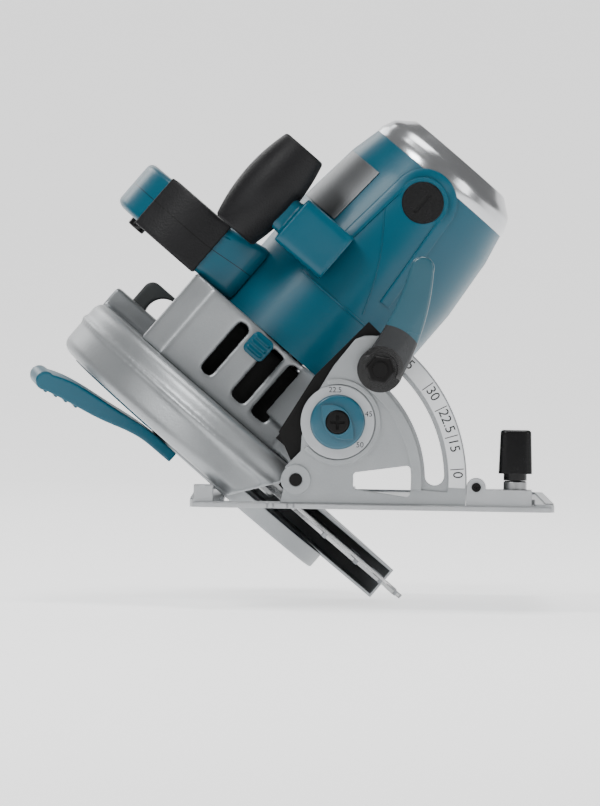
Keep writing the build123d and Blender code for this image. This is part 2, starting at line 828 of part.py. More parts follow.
write(blade, "blade")

with BuildPart() as carbide_tips:
    with BuildSketch(across(-blade_kerf / 2)):
        for tooth in range(blade_teeth):
            start = tooth * tooth_pitch
            with BuildLine():
                Polyline(*ringed(((blade_radius, start - 0.18), (blade_radius - tip_height, start + tip_rake),
                                  (blade_radius - tip_height, start + tip_rake - tip_angle),
                                  (blade_radius - 0.7, start - 0.18 - tip_angle)), arbor))
            make_face()
    extrude(amount=blade_kerf)
write(carbide_tips, "carbide_tips")

flange_bore = 6.0
with BuildPart() as inner_flange:
    with BuildSketch(across(inner_face)):
        with Locations(arbor):
            Circle(flange_radius)
            Circle(flange_bore, mode=Mode.SUBTRACT)
    extrude(amount=inner_flange_end - inner_face)
    with BuildSketch(across(inner_face - spigot_length)):
        with Locations(arbor):
            Circle(blade_bore_radius)
            Circle(flange_bore, mode=Mode.SUBTRACT)
    extrude(amount=spigot_length)
write(inner_flange, "inner_flange")

with BuildPart() as outer_flange:
    with BuildSketch(across(outer_face)):
        with Locations(arbor):
            Circle(flange_radius - 3)
            Circle(blade_bolt_radius, mode=Mode.SUBTRACT)
    extrude(amount=outer_flange_thickness - 2.0)
    chamfer(faces().sort_by(motor_line)[0].edges().sort_by(SortBy.LENGTH)[-1], 1.0)
    with BuildSketch(across(outer_face + outer_flange_thickness - 2.0)):
        with Locations(arbor):
            Circle(flange_radius)
            Circle(blade_bolt_radius, mode=Mode.SUBTRACT)
    extrude(amount=2.0)
write(outer_flange, "outer_flange")

bolt_reach = 14.0
with BuildPart() as blade_bolt:
    with BuildSketch(across(outer_face - blade_bolt_head)):
        with Locations(arbor):
            RegularPolygon(blade_bolt_flats / 2, 6, major_radius=False)
    extrude(amount=blade_bolt_head - 1.6)
    chamfer(faces().sort_by(motor_line)[0].edges(), 0.8)
    with BuildSketch(across(outer_face - 1.6)):
        with Locations(arbor):
            Circle(blade_bolt_flats / 2 + 3)
    extrude(amount=1.6)
    with BuildSketch(across(outer_face)):
        with Locations(arbor):
            Circle(blade_bolt_radius)
    extrude(amount=bolt_reach - outer_face)
write(blade_bolt, "blade_bolt")

# The spindle runs in a ball bearing behind the flange and a needle bearing beyond the gear.
spindle_end = 52.0
front_bearing_start = 15.5
front_bearing_width = 8.0
front_bearing_radius = 14.0
rear_bearing_start = 42.0
rear_bearing_radius = 9.0
rear_journal = 5.5
spindle_stub_start = inner_face - 0.2
with BuildPart() as spindle:
    with BuildSketch(across(spindle_stub_start)):
        with Locations(arbor):
            Circle(flange_bore)
    extrude(amount=inner_flange_end - spindle_stub_start)
    with BuildSketch(across(inner_flange_end)):
        with Locations(arbor):
            Circle(spindle_radius + 1.6)
    extrude(amount=front_bearing_start - inner_flange_end)
    with BuildSketch(across(front_bearing_start)):
        with Locations(arbor):
            Circle(spindle_radius)
    extrude(amount=gear_start + gear_width + 2.0 - front_bearing_start)
    with BuildSketch(across(gear_start + gear_width + 2.0)):
        with Locations(arbor):
            Circle(rear_journal)
    extrude(amount=spindle_end - gear_start - gear_width - 2.0)
    with BuildSketch(across(spindle_stub_start)):
        with Locations(arbor):
            Circle(blade_bolt_radius)
    extrude(amount=bolt_reach - spindle_stub_start, mode=Mode.SUBTRACT)
write(spindle, "spindle")

with BuildPart() as spindle_bearings:
    with BuildSketch(across(front_bearing_start)):
        with Locations(arbor):
            Circle(front_bearing_radius)
            Circle(spindle_radius + run_gap, mode=Mode.SUBTRACT)
    extrude(amount=front_bearing_width)
    with BuildSketch(across(rear_bearing_start)):
        with Locations(arbor):
            Circle(rear_bearing_radius)
            Circle(rear_journal + run_gap, mode=Mode.SUBTRACT)
    extrude(amount=front_bearing_width)
write(spindle_bearings, "spindle_bearings")

gear_pitch = gear_module * gear_teeth / 2
gear_direction = degrees(atan2(motor_h - arbor_h, motor_y - arbor_y))
gear_turn = gear_direction + 180.0 / gear_teeth
with BuildPart() as drive_gear:
    with BuildSketch(across(gear_start)):
        with BuildLine():
            Polyline(*gear_outline(gear_teeth, gear_pitch - 1.25, gear_pitch + 0.9, gear_turn, arbor))
        make_face()
        with Locations(arbor):
            Circle(spindle_radius, mode=Mode.SUBTRACT)
    extrude(amount=gear_width)
write(drive_gear, "drive_gear")

# ---------------------------------------------------------------- armature
pinion_pitch = gear_module * pinion_teeth / 2
pinion_turn = gear_direction + 180.0
pinion_face = gear_start - 0.5
armature_front = 40.5
cap_bearing_start = 181.5
cap_bearing_width = 7.0
tail_radius = 4.0
fan_start = 62.5
fan_plate = 1.6
fan_radius = 40.0
fan_blades = 9
fan_width = 11.0
with BuildPart() as armature_shaft:
    with BuildSketch(across(pinion_face)):
        with BuildLine():
            Polyline(*gear_outline(pinion_teeth, pinion_pitch - 1.3, pinion_pitch + 0.9, pinion_turn,
                                   motor_axis_at))
        make_face()
    extrude(amount=gear_width + 1.0)
    with BuildSketch(across(pinion_face + gear_width + 1.0)):
        with Locations(motor_axis_at):
            Circle(shaft_radius)
    extrude(amount=cap_bearing_start - 1.0 - pinion_face - gear_width - 1.0)
    with BuildSketch(across(cap_bearing_start - 1.0)):
        with Locations(motor_axis_at):
            Circle(tail_radius)
    extrude(amount=cap_bearing_width + 1.5)
write(armature_shaft, "armature_shaft")

core_slots = 12
slot_width = 2.2
slot_depth = 10.0
with BuildPart() as armature_core:
    with BuildSketch(across(stator_start + 2)):
        with Locations(motor_axis_at):
            Circle(core_radius)
            Circle(shaft_radius, mode=Mode.SUBTRACT)
            with PolarLocations(core_radius - slot_depth / 2 + 1, core_slots):
                Rectangle(slot_depth, slot_width, mode=Mode.SUBTRACT)
    extrude(amount=stator_end - stator_start - 4)
write(armature_core, "armature_core")

with BuildPart() as armature_windings:
    for coil_start in (stator_start - 6.0, stator_end - 2.0):
        with BuildSketch(across(coil_start)):
            with Locations(motor_axis_at):
                Circle(core_radius - 4)
                Circle(shaft_radius, mode=Mode.SUBTRACT)
        extrude(amount=8.0)
write(armature_windings, "armature_windings")

with BuildPart() as commutator:
    with BuildSketch(across(commutator_start)):
        with Locations(motor_axis_at):
            Circle(commutator_radius)
            Circle(shaft_radius, mode=Mode.SUBTRACT)
    extrude(amount=commutator_end - commutator_start)
write(commutator, "commutator")

with BuildPart() as cooling_fan:
    with BuildSketch(across(fan_start)):
        with Locations(motor_axis_at):
            Circle(fan_radius)
    extrude(amount=fan_plate)
    with BuildSketch(across(fan_start)):
        with Locations(motor_axis_at):
            Circle(10.0)
    extrude(amount=fan_width)
    with BuildSketch(across(fan_start)):
        for vane in range(fan_blades):
            with BuildLine():
                Polyline(*ringed(((18.0, 40.0 * vane), (fan_radius, 40.0 * vane + 16),
                                  (fan_radius, 40.0 * vane + 18.5), (18.0, 40.0 * vane + 5)), motor_axis_at))
            make_face()
    extrude(amount=fan_width)
    with BuildSketch(across(fan_start)):
        with Locations(motor_axis_at):
            Circle(shaft_radius)
    extrude(amount=fan_width, mode=Mode.SUBTRACT)
write(cooling_fan, "cooling_fan")

# ---------------------------------------------------------------- lower guard
# A half drum between the blade and the upper guard. Its inner wall turns on the bearing retainer, and its
# outer wall rises through the upper guard's window as the hub disc that carries the lever.
lower_lead = lower_rest_lead
lower_trail = lower_rest_lead + lower_span
ring_seat = retainer_radius + 2 * run_gap
disc_thickness = 2.6
with BuildPart() as lower_guard:
    with BuildSketch(across(lower_outer)):
        with BuildLine():
            band(lower_radius - lower_wall, lower_radius, lower_lead, lower_trail, arbor)
        make_face()
    extrude(amount=lower_inner - lower_outer)
    with BuildSketch(across(lower_inner - lower_wall)):
        with BuildLine():
            band(hub_ring_radius - 2, lower_radius, lower_lead, lower_trail, arbor)
        make_face()
        with Locations(arbor):
            Circle(hub_ring_radius)
            Circle(ring_seat, mode=Mode.SUBTRACT)
    extrude(amount=lower_wall)
    with BuildSketch(across(lower_outer)):
        with BuildLine():
            band(hub_disc_radius - 3, lower_radius, lower_lead, lower_trail, arbor)
        make_face()
    extrude(amount=lower_wall)
    with BuildSketch(across(hub_disc_face)):
        with Locations(arbor):
            Circle(hub_disc_radius)
            Circle(hub_opening_radius, mode=Mode.SUBTRACT)
    extrude(amount=disc_thickness)
    with BuildSketch(across(hub_disc_face)):
        with Locations(arbor):
            Circle(hub_disc_radius)
            Circle(hub_disc_radius - disc_thickness, mode=Mode.SUBTRACT)
    extrude(amount=lower_outer + lower_wall - hub_disc_face)
    fillet(faces().sort_by(motor_line)[0].edges().sort_by(SortBy.LENGTH)[-1], 1.4)
write(lower_guard, "lower_guard")

# The lever is a separate moulding screwed to the hub disc. It leans outwards as it rises.
lever_root = polar(50.0, 123.0)
lever_tip_at = polar(130.0, 112.0)
lever_turn = atan2(lever_tip_at[1] - lever_root[1], lever_tip_at[0] - lever_root[0])
lever_length = sqrt((lever_tip_at[0] - lever_root[0]) ** 2 + (lever_tip_at[1] - lever_root[1]) ** 2)
lever_foot = 16.0
lever_lean = 9.0
lever_along = Vector(0, cos(lever_turn), 0) + blade_up * sin(lever_turn)
lever_across = Vector(0, -sin(lever_turn), 0) + blade_up * cos(lever_turn)
lever_base = head_point(hub_disc_face, arbor_y + lever_root[0], arbor_h + lever_root[1])
lever_side = Plane(origin=lever_base, x_dir=lever_along, z_dir=lever_across)
lever_half_width = 10.0
with BuildPart() as guard_lever:
    with BuildSketch(lever_side.offset(-lever_half_width)):
        with BuildLine():
            low = Line((-4, 0), (lever_foot - 6, 0))
            belly = Spline(low @ 1, (lever_foot + 22, 3.0), (lever_length - 6, lever_lean + 2),
                           tangents=((1, 0), (1, 0.5)))
            tip = ThreePointArc(belly @ 1, (lever_length, lever_lean + 8),
                                (lever_length - 8, lever_lean + 11))
            outside = Spline(tip @ 1, (lever_foot + 22, 12.0), (lever_foot - 6, 6.0), tangents=((-1, -0.3),
                                                                                                (-1, 0)))
            cap = Line(outside @ 1, (-4, 6.0))
            Line(cap @ 1, low @ 0)
        make_face()
    extrude(amount=2 * lever_half_width)
write(guard_lever, "guard_lever")

spring_inner = retainer_radius + 0.6
with BuildPart() as guard_spring:
    with BuildSketch(across(lower_inner + 0.4)):
        with Locations(arbor):
            Circle(spring_inner + 2.2)
            Circle(spring_inner, mode=Mode.SUBTRACT)
    extrude(amount=guard_inner - guard_wall - lower_inner - 0.8)
write(guard_spring, "guard_spring")

# ---------------------------------------------------------------- gear housing
# The cast housing between the guard and the motor: a gear chamber, an air duct behind the ribbed front face,
# bearing seats, the lug for the depth pin, and a notch at the rear for the depth guide.
lug_radius_head = 9.0
duct_front = housing_front + housing_wall
duct_rear = -46.0
fan_chamber = 46.0
fan_chamber_start = 51.5
slot_rows = ((46.0, 56.0), (61.0, 70.0), (84.0, 91.0))
with BuildPart() as gear_housing:
    with BuildSketch(across(housing_start)):
        with BuildLine():
            Polyline((housing_front, 34), (housing_front, 112), (housing_front + 11, housing_top),
                     (-18, housing_top), (8, 104), (housing_rear - 4, 74), (housing_rear, 52),
                     (housing_rear, 20), (20, housing_bottom), (-34, housing_bottom),
                     (housing_front + 14, 22), (housing_front, 34))
        make_face()
        fillet(vertices(), 4.0)
    extrude(amount=housing_end - housing_start)
    with BuildSketch(across(lug_start)):
        with BuildLine():
            under = Line((housing_front + 20, 13), (depth_y, depth_h - lug_radius_head))
            nose = ThreePointArc(under @ 1, (depth_y - lug_radius_head, depth_h),
                                 (depth_y, depth_h + lug_radius_head))
            over = Polyline(nose @ 1, (housing_front, 50), (housing_front + 20, 50), under @ 0)
        make_face()
    extrude(amount=housing_end - lug_start)
    with BuildSketch(across(housing_start)):
        with Locations(depth_at):
            Circle(depth_pin_radius + run_gap)
    extrude(amount=housing_end - housing_start, mode=Mode.SUBTRACT)
    with BuildSketch(across(gear_start - 2.0)):
        with Locations(arbor):
            Circle(gear_pitch + 4.5)
        with Locations(motor_axis_at):
            Circle(pinion_pitch + 7.0)
    extrude(amount=gear_width + 3.5, mode=Mode.SUBTRACT)
    with BuildSketch(across(housing_start)):
        with Locations(arbor):
            Circle(front_bearing_radius + run_gap)
    extrude(amount=gear_start - housing_start, mode=Mode.SUBTRACT)
    with BuildSketch(across(rear_bearing_start - 3)):
        with Locations(arbor):
            Circle(rear_bearing_radius + run_gap)
    extrude(amount=spindle_end + 0.5 - rear_bearing_start + 3, mode=Mode.SUBTRACT)
    with BuildSketch(across(armature_front)):
        with Locations(motor_axis_at):
            Circle(11.0 + run_gap)
    extrude(amount=housing_end - armature_front, mode=Mode.SUBTRACT)
    with BuildSketch(across(gear_start)):
        with Locations(motor_axis_at):
            Circle(shaft_radius + 1.5)
    extrude(amount=housing_end - gear_start, mode=Mode.SUBTRACT)
    with BuildSketch(across(fan_chamber_start + 3)):
        with Locations(motor_axis_at):
            Circle(fan_chamber)
    extrude(amount=housing_end - fan_chamber_start, mode=Mode.SUBTRACT)
    with BuildSketch(level(42.0)):
        with Locations(((housing_start + housing_end) / 2, (duct_front + duct_rear) / 2 - 3)):
            Rectangle(housing_end - housing_start - 2 * housing_wall, duct_rear - duct_front - 6)
    extrude(amount=housing_top - 42.0 - 10, mode=Mode.SUBTRACT)
    with BuildSketch(facing(housing_front)):
        for low, high in slot_rows:
            with Locations(((housing_start + housing_end) / 2 + 2, (low + high) / 2)):
                RectangleRounded(housing_end - housing_start - 12, high - low, 2.4)
    extrude(amount=-housing_wall, mode=Mode.SUBTRACT)
    with BuildSketch(facing(housing_front)):
        with Locations((lock_u, lock_h)):
            Circle(lock_pin_radius + slide_gap)
    extrude(amount=-2 * housing_wall - lock_travel, mode=Mode.SUBTRACT)
    with BuildSketch(across(guide_start - 1.0)):
        with BuildLine():
            band(guide_inner - 1.5, wide, -60, 100, depth_at)
        make_face()
    extrude(amount=guide_thickness + 2.0, mode=Mode.SUBTRACT)
    with BuildSketch(across(guide_start + guide_thickness)):
        with BuildLine():
            band(guide_inner - 1.5, wide, -60, 12, depth_at)
        make_face()
    extrude(amount=housing_end - guide_start - guide_thickness, mode=Mode.SUBTRACT)
    with BuildSketch(across(housing_start + 12)):
        with Locations(depth_bolt_at):
            Circle(depth_bolt_radius)
    extrude(amount=guide_start - housing_start - 12, mode=Mode.SUBTRACT)
write(gear_housing, "gear_housing")

with BuildPart() as bearing_retainer:
    with BuildSketch(across(retainer_face)):
        with Locations(arbor):
            Circle(retainer_radius)
            Circle(spindle_radius + 2.2, mode=Mode.SUBTRACT)
    extrude(amount=housing_start - retainer_face)
write(bearing_retainer, "bearing_retainer")

with BuildPart() as armature_bearings:
    with BuildSketch(across(armature_front + 1.0)):
        with Locations(motor_axis_at):
            Circle(11.0)
            Circle(shaft_radius + run_gap, mode=Mode.SUBTRACT)
    extrude(amount=7.0)
    with BuildSketch(across(cap_bearing_start)):
        with Locations(motor_axis_at):
            Circle(9.5)
            Circle(tail_radius + run_gap, mode=Mode.SUBTRACT)
    extrude(amount=cap_bearing_width)
write(armature_bearings, "armature_bearings")

# ---------------------------------------------------------------- motor
with BuildPart() as motor_housing:
    with BuildSketch(Plane(origin=head_point(0, motor_y, motor_h), x_dir=motor_dir, z_dir=(0, -1, 0))):
        with BuildLine():
            Polyline((housing_end, motor_bore), (housing_end, motor_radius), (motor_straight_end,
                                                                              motor_radius),
                     (motor_end - 16, motor_radius - 3.4), (motor_end, motor_end_radius),
                     (motor_end, motor_end_radius - motor_wall), (motor_end - 16,
                                                                  motor_radius - 3.4 - motor_wall),
                     (motor_straight_end, motor_bore), (housing_end, motor_bore))
        make_face()
    revolve(axis=motor_line)
    for side in (-1, 1):
        with BuildSketch(brush_plane(side)
                         .offset(motor_end_radius - 6)):
            Circle(brush_cap_radius + 2.6)
        extrude(amount=8.5)
    for side in (-1, 1):
        with BuildSketch(brush_plane(side)
                         .offset(commutator_radius + 3)):
            Circle(brush_cap_radius + 0.1)
        extrude(amount=motor_radius, mode=Mode.SUBTRACT)
write(motor_housing, "motor_housing")

cap_wall = 3.2
with BuildPart() as end_cap:
    with BuildSketch(Plane(origin=head_point(0, motor_y, motor_h), x_dir=motor_dir, z_dir=(0, -1, 0))):
        with BuildLine():
            Polyline((motor_end, motor_end_radius - cap_wall), (motor_end, motor_end_radius),
                     (motor_end + 3, motor_end_radius), (motor_end + 10, motor_end_radius - 3),
                     (cap_end, cap_flat_radius), (cap_end, 0), (cap_end - cap_wall, 0),
                     (cap_end - cap_wall, 9.0),
                     (cap_bearing_start + cap_bearing_width, 9.0 - 1.0),
                     (cap_bearing_start + cap_bearing_width, 9.6),
                     (cap_bearing_start, 9.6), (cap_bearing_start, 14.0), (cap_end - cap_wall - 2, 14.0),
                     (cap_end - cap_wall, cap_flat_radius - 2),
                     (motor_end + 9, motor_end_radius - 3 - cap_wall),
                     (motor_end, motor_end_radius - cap_wall))
        make_face()
    revolve(axis=motor_line)
write(end_cap, "end_cap")

with BuildPart() as stator:
    with BuildSketch(across(stator_start)):
        with Locations(motor_axis_at):
            Circle(motor_bore - 0.1)
            Circle(stator_bore, mode=Mode.SUBTRACT)
    extrude(amount=stator_end - stator_start)
write(stator, "stator")

holder_outer = 38.5
with BuildPart() as carbon_brushes:
    for side in (-1, 1):
        with BuildSketch(brush_plane(side)
                         .offset(commutator_radius + 0.3)):
            Rectangle(10.0, 6.0)
        extrude(amount=12.0)
write(carbon_brushes, "carbon_brushes")

with BuildPart() as brush_holders:
    for side in (-1, 1):
        with BuildSketch(brush_plane(side)
                         .offset(commutator_radius + 3.2)):
            Circle(brush_cap_radius)
            Rectangle(10.4, 6.4, mode=Mode.SUBTRACT)
        extrude(amount=holder_outer - commutator_radius - 3.2)
write(brush_holders, "brush_holders")

with BuildPart() as brush_caps:
    for side in (-1, 1):
        with BuildSketch(brush_plane(side)
                         .offset(holder_outer)):
            Circle(brush_cap_radius)
        extrude(amount=7.5)
        with BuildSketch(brush_plane(side)
                         .offset(holder_outer + 6.0)):
            Rectangle(13.0, 2.2)
        extrude(amount=1.5, mode=Mode.SUBTRACT)
write(brush_caps, "brush_caps")

label_start = 129.0
label_turn = radians(12.0)
label_normal = Vector(0, -1, 0) * cos(label_turn) - blade_up * sin(label_turn)
with BuildPart() as motor_label:
    with BuildSketch(Plane(origin=head_point(0, motor_y, motor_h), x_dir=motor_dir,
                           z_dir=label_normal)):
        with BuildLine():
            Polyline((label_start, motor_radius), (label_start, motor_radius + 0.7), (130,
                                                                                      motor_radius + 0.7),
                     (163, motor_radius - 3.3 + 0.7), (163, motor_radius - 3.3), (130, motor_radius),
                     (label_start, motor_radius))
        make_face()
    revolve(axis=motor_line, revolution_arc=42)
write(motor_label, "motor_label")

# ---------------------------------------------------------------- shaft lock
# A ribbed button on the gear housing's front face pushes a pin towards the drive gear.
with BuildPart() as shaft_lock:
    with BuildSketch(facing(housing_front - lock_travel - 0.8)):
        with Locations((lock_u, lock_h)):
            RectangleRounded(13.0, 13.0, 3.0)
    extrude(amount=7.0)
    with BuildSketch(facing(housing_front - lock_travel - 7.8)):
        with Locations((lock_u, lock_h)):
            with GridLocations(3.4, 0, 3, 1):
                Rectangle(1.5, 9.0)
    extrude(amount=1.0)
    with BuildSketch(facing(housing_front - lock_travel - 0.8)):
        with Locations((lock_u, lock_h)):
            Circle(lock_pin_radius)
    extrude(amount=-(lock_travel + 0.8 + housing_wall + 2))
write(shaft_lock, "shaft_lock")

# ---------------------------------------------------------------- front handle
bracket_low = 74.0
bracket_high = 106.0
bracket_u = (100.0, 128.0)
bracket_depth = 26.0
knob_core_radius = 8.0
knob_axis = Axis(head_point(0, knob_y, knob_h), motor_dir)
with BuildPart() as knob_bracket:
    with BuildSketch(level(bracket_low)):
        with Locations(((bracket_u[0] + bracket_u[1]) / 2, knob_y)):
            RectangleRounded(bracket_u[1] - bracket_u[0], bracket_depth, 4)
    extrude(amount=bracket_high - bracket_low)
    with BuildSketch(level(bracket_high)):
        with Locations(((bracket_u[0] + bracket_u[1]) / 2, knob_y)):
            RectangleRounded(bracket_u[1] - bracket_u[0] - 8, bracket_depth - 8, 4)
    extrude(amount=knob_h - bracket_high)
    with BuildSketch(across(knob_start + 8)):
        with Locations((knob_y, knob_h)):
            Circle(knob_core_radius)
    extrude(amount=knob_end - knob_start - 16)
    with BuildSketch(across(bracket_u[0] - 10)):
        with Locations(motor_axis_at):
            Circle(motor_radius)
    extrude(amount=bracket_u[1] - bracket_u[0] + 20, mode=Mode.SUBTRACT)
write(knob_bracket, "knob_bracket")

knob_end_radius = 12.5
with BuildPart() as front_knob:
    with BuildSketch(Plane(origin=head_point(0, knob_y, knob_h), x_dir=motor_dir, z_dir=(0, -1, 0))):
        with BuildLine():
            barrel = ThreePointArc((knob_start, knob_end_radius), ((knob_start + knob_end) / 2, knob_radius),
                                   (knob_end, knob_end_radius))
            Polyline(barrel @ 1, (knob_end, 0), (knob_start, 0), barrel @ 0)
        make_face()
    revolve(axis=knob_axis)
    fillet(edges().filter_by(GeomType.CIRCLE), 2.0)
    with BuildSketch(across(knob_start)):
        with Locations((knob_y, knob_h)):
            Circle(knob_core_radius)
    extrude(amount=knob_end - knob_start - 8, mode=Mode.SUBTRACT)
    with BuildSketch(level(bracket_high - 10)):
        with Locations(((bracket_u[0] + bracket_u[1]) / 2, knob_y)):
            RectangleRounded(bracket_u[1] - bracket_u[0] - 8, bracket_depth - 8, 4)
    extrude(amount=knob_h - bracket_high + 10, mode=Mode.SUBTRACT)
    with BuildSketch(level(bracket_high - 20)):
        with Locations(((bracket_u[0] + bracket_u[1]) / 2, knob_y)):
            RectangleRounded(bracket_u[1] - bracket_u[0] + 0.2, bracket_depth + 10, 4)
    extrude(amount=20, mode=Mode.SUBTRACT)
write(front_knob, "front_knob")

# ---------------------------------------------------------------- main handle
# Two clamshell halves meet in the plane through the grip's middle. The closed loop rises from the motor's
# front, runs over the finger gap and comes down to the motor's rear. Black rubber wraps the front pillar.
handle_start = handle_u - handle_width / 2
handle_end = handle_u + handle_width / 2
loop_outer = ((-56, 106), (-58, 150), (-34, 181), (40, 184), (110, 170), (176, 122), (192, 70), (176, 34),
              (120, 14), (60, 22), (30, 40))
loop_outer_radii = (14, 40, 40, 100, 80, 60, 45, 45, 80, 60, 60)
loop_inner = ((-14, 123), (-26, 140), (-12, 152), (42, 152), (96, 140), (142, 104), (154, 72), (146, 56),
              (112, 46), (60, 58), (20, 108))
loop_inner_radii = (6, 8, 12, 100, 70, 40, 22, 18, 50, 60, 20)
handle_screws_at = ((-44.0, 136.0), (104.0, 155.0), (170.0, 88.0), (90.0, 34.0))
boss_radius = 4.5
handle_screw_radius = 1.8
gland_h = 54.0
gland_radius = 8.0
gland_rear = 206.0
cavity_start = handle_start + handle_shell
cavity_end = handle_end - handle_shell
trigger_y = 16.0
trigger_length = 44.0
trigger_width = 15.0
bar_low = 152.0
lock_off_at = (-16.0, 166.0)
lock_off_radius = 5.0


with BuildSketch() as grip_loop:
    with BuildLine():
        FilletPolyline(*loop_outer, radius=loop_outer_radii, close=True)
    make_face()
    with BuildLine():
        FilletPolyline(*loop_inner, radius=loop_inner_radii, close=True)
    make_face(mode=Mode.SUBTRACT)

side_fillet = 4.0
boss_inset = 1.0
for half_name, half_start, half_end, outward in (("handle_left", handle_start, handle_u, -1),
                                                 ("handle_right", handle_u, handle_end, 1)):
    with BuildPart() as handle_half:
        with BuildSketch(across(half_start)):
            add(grip_loop.sketch_local)
        extrude(amount=half_end - half_start)
        fillet(faces().sort_by(Axis(head_point(0, 0, 0), motor_dir * outward))[-1].edges(), side_fillet)
        with BuildSketch(across(max(half_start, cavity_start))):
            add(grip_loop.sketch_local)
            offset(amount=-handle_shell, mode=Mode.REPLACE)
        extrude(amount=min(half_end, cavity_end) - max(half_start, cavity_start), mode=Mode.SUBTRACT)
        with BuildSketch(across(max(half_start, handle_start + boss_inset))):
            with Locations(*handle_screws_at):
                Circle(boss_radius)
        extrude(amount=half_end - half_start - boss_inset)
        with BuildSketch(across(handle_start)):
            with Locations(*handle_screws_at):
                Circle(handle_screw_radius)
        extrude(amount=handle_width - 5.5, mode=Mode.SUBTRACT)
        with BuildSketch(across(handle_start)):
            with Locations(*handle_screws_at):
                Circle(3.6)
        extrude(amount=2.5, mode=Mode.SUBTRACT)
        with BuildSketch(across(handle_start)):
            with Locations(motor_axis_at):
                Circle(motor_radius)
        extrude(amount=handle_width, mode=Mode.SUBTRACT)
        with BuildSketch(level(bar_low - 6)):
            with Locations((handle_u, trigger_y)):
                RectangleRounded(trigger_width + 2 * slide_gap, trigger_length + 2 * slide_gap, 3)
        extrude(amount=12.0, mode=Mode.SUBTRACT)
        with BuildSketch(facing(gland_rear)):
            with Locations((handle_u, gland_h)):
                Circle(gland_radius)
        extrude(amount=29.0, mode=Mode.SUBTRACT)
        with BuildSketch(across(handle_start)):
            with Locations(lock_off_at):
                Circle(lock_off_radius + slide_gap)
        extrude(amount=handle_shell + 0.1, mode=Mode.SUBTRACT)
    write(handle_half, half_name)

grip_low = 127.0
grip_high = 168.0
grip_rear = 112.0
with BuildPart() as handle_grip:
    with BuildSketch(across(handle_start - grip_skin)):
        add(grip_loop.sketch_local)
        offset(amount=grip_skin, mode=Mode.REPLACE)
    extrude(amount=handle_width + 2 * grip_skin)
    with BuildSketch(across(handle_start - 2 * grip_skin)):
        with Locations((grip_rear - 250, (grip_low + grip_high) / 2)):
            Rectangle(500, grip_high - grip_low)
    extrude(amount=handle_width + 4 * grip_skin, mode=Mode.INTERSECT)
    with BuildSketch(across(handle_start)):
        add(grip_loop.sketch_local)
    extrude(amount=handle_width, mode=Mode.SUBTRACT)
    with BuildSketch(level(bar_low - 6)):
        with Locations((handle_u, trigger_y)):
            RectangleRounded(trigger_width + 2 * slide_gap, trigger_length + 2 * slide_gap, 3)
    extrude(amount=12.0, mode=Mode.SUBTRACT)
    with BuildSketch(across(handle_start - 2 * grip_skin)):
        with Locations(lock_off_at):
            Circle(lock_off_radius + slide_gap)
    extrude(amount=3 * grip_skin, mode=Mode.SUBTRACT)
write(handle_grip, "handle_grip")

with BuildPart() as handle_screws:
    with BuildSketch(across(handle_start + 0.3)):
        with Locations(*handle_screws_at):
            Circle(3.5)
    extrude(amount=2.2)
    with BuildSketch(across(handle_start + 0.3)):
        with Locations(*handle_screws_at):
            Rectangle(0.8, 4.2)
            Rectangle(4.2, 0.8)
    extrude(amount=0.9, mode=Mode.SUBTRACT)
    with BuildSketch(across(handle_start + 2.5)):
        with Locations(*handle_screws_at):
            Circle(handle_screw_radius)
    extrude(amount=handle_width - 8.0)
write(handle_screws, "handle_screws")

trigger_travel = 6.0
trigger_low = bar_low - 12.0
with BuildPart() as trigger:
    with BuildSketch(level(trigger_low)):
        with Locations((handle_u, trigger_y)):
            RectangleRounded(trigger_width, trigger_length, 3)
    extrude(amount=bar_low + 1.5 - trigger_low)
    fillet(faces().sort_by(Axis(head_point(0, 0, 0), blade_up))[0].edges(), 2.4)
    with BuildSketch(level(bar_low + handle_shell + 0.4)):
        with Locations((handle_u, trigger_y)):
            Rectangle(trigger_width + 6, trigger_length + 5)
    extrude(amount=2.0)
    with BuildSketch(level(bar_low + 1.0)):
        with Locations((handle_u, trigger_y)):
            Rectangle(trigger_width - 3, trigger_length - 3)
    extrude(amount=4.0)
write(trigger, "trigger")

switch_low = bar_low + handle_shell + 0.4 + 2.0 + trigger_travel + 0.4
switch_length = 34.0
switch_height = 13.0
with BuildPart() as trigger_switch:
    with BuildSketch(level(switch_low)):
        with Locations((handle_u, trigger_y + 6)):
            Rectangle(cavity_end - cavity_start, switch_length)
    extrude(amount=switch_height)
write(trigger_switch, "trigger_switch")

with BuildPart() as lock_off_button:
    with BuildSketch(across(handle_start - grip_skin - 3.2)):
        with Locations(lock_off_at):
            Circle(lock_off_radius)
    extrude(amount=handle_shell + grip_skin + 3.6)
    fillet(faces().sort_by(motor_line)[0].edges(), 1.0)
    with BuildSketch(across(cavity_start + 0.4)):
        with Locations(lock_off_at):
            Circle(lock_off_radius + 1.6)
    extrude(amount=1.6)
write(lock_off_button, "lock_off_button")

with BuildPart() as cord_gland:
    with BuildSketch(facing(gland_rear)):
        with Locations((handle_u, gland_h)):
            Circle(gland_radius)
            Circle(gland_radius - 3.5, mode=Mode.SUBTRACT)
    extrude(amount=29.0)
    chamfer(faces().sort_by(Axis.Y)[-1].edges().sort_by(SortBy.LENGTH)[-1], 2.0)
write(cord_gland, "cord_gland")

# ---------------------------------------------------------------- depth clamp
depth_lever_start = guide_end + 0.4
depth_lever_thickness = 6.0
depth_nut_start = depth_lever_start + depth_lever_thickness + 0.3
with BuildPart() as depth_bolt:
    with BuildSketch(across(housing_start + 12)):
        with Locations(depth_bolt_at):
            Circle(depth_bolt_radius)
    extrude(amount=depth_nut_start + 3.6 - housing_start - 12)
    with BuildSketch(across(depth_nut_start)):
        with Locations(depth_bolt_at):
            RegularPolygon(5.5, 6, major_radius=False)
    extrude(amount=3.6)
write(depth_bolt, "depth_bolt")

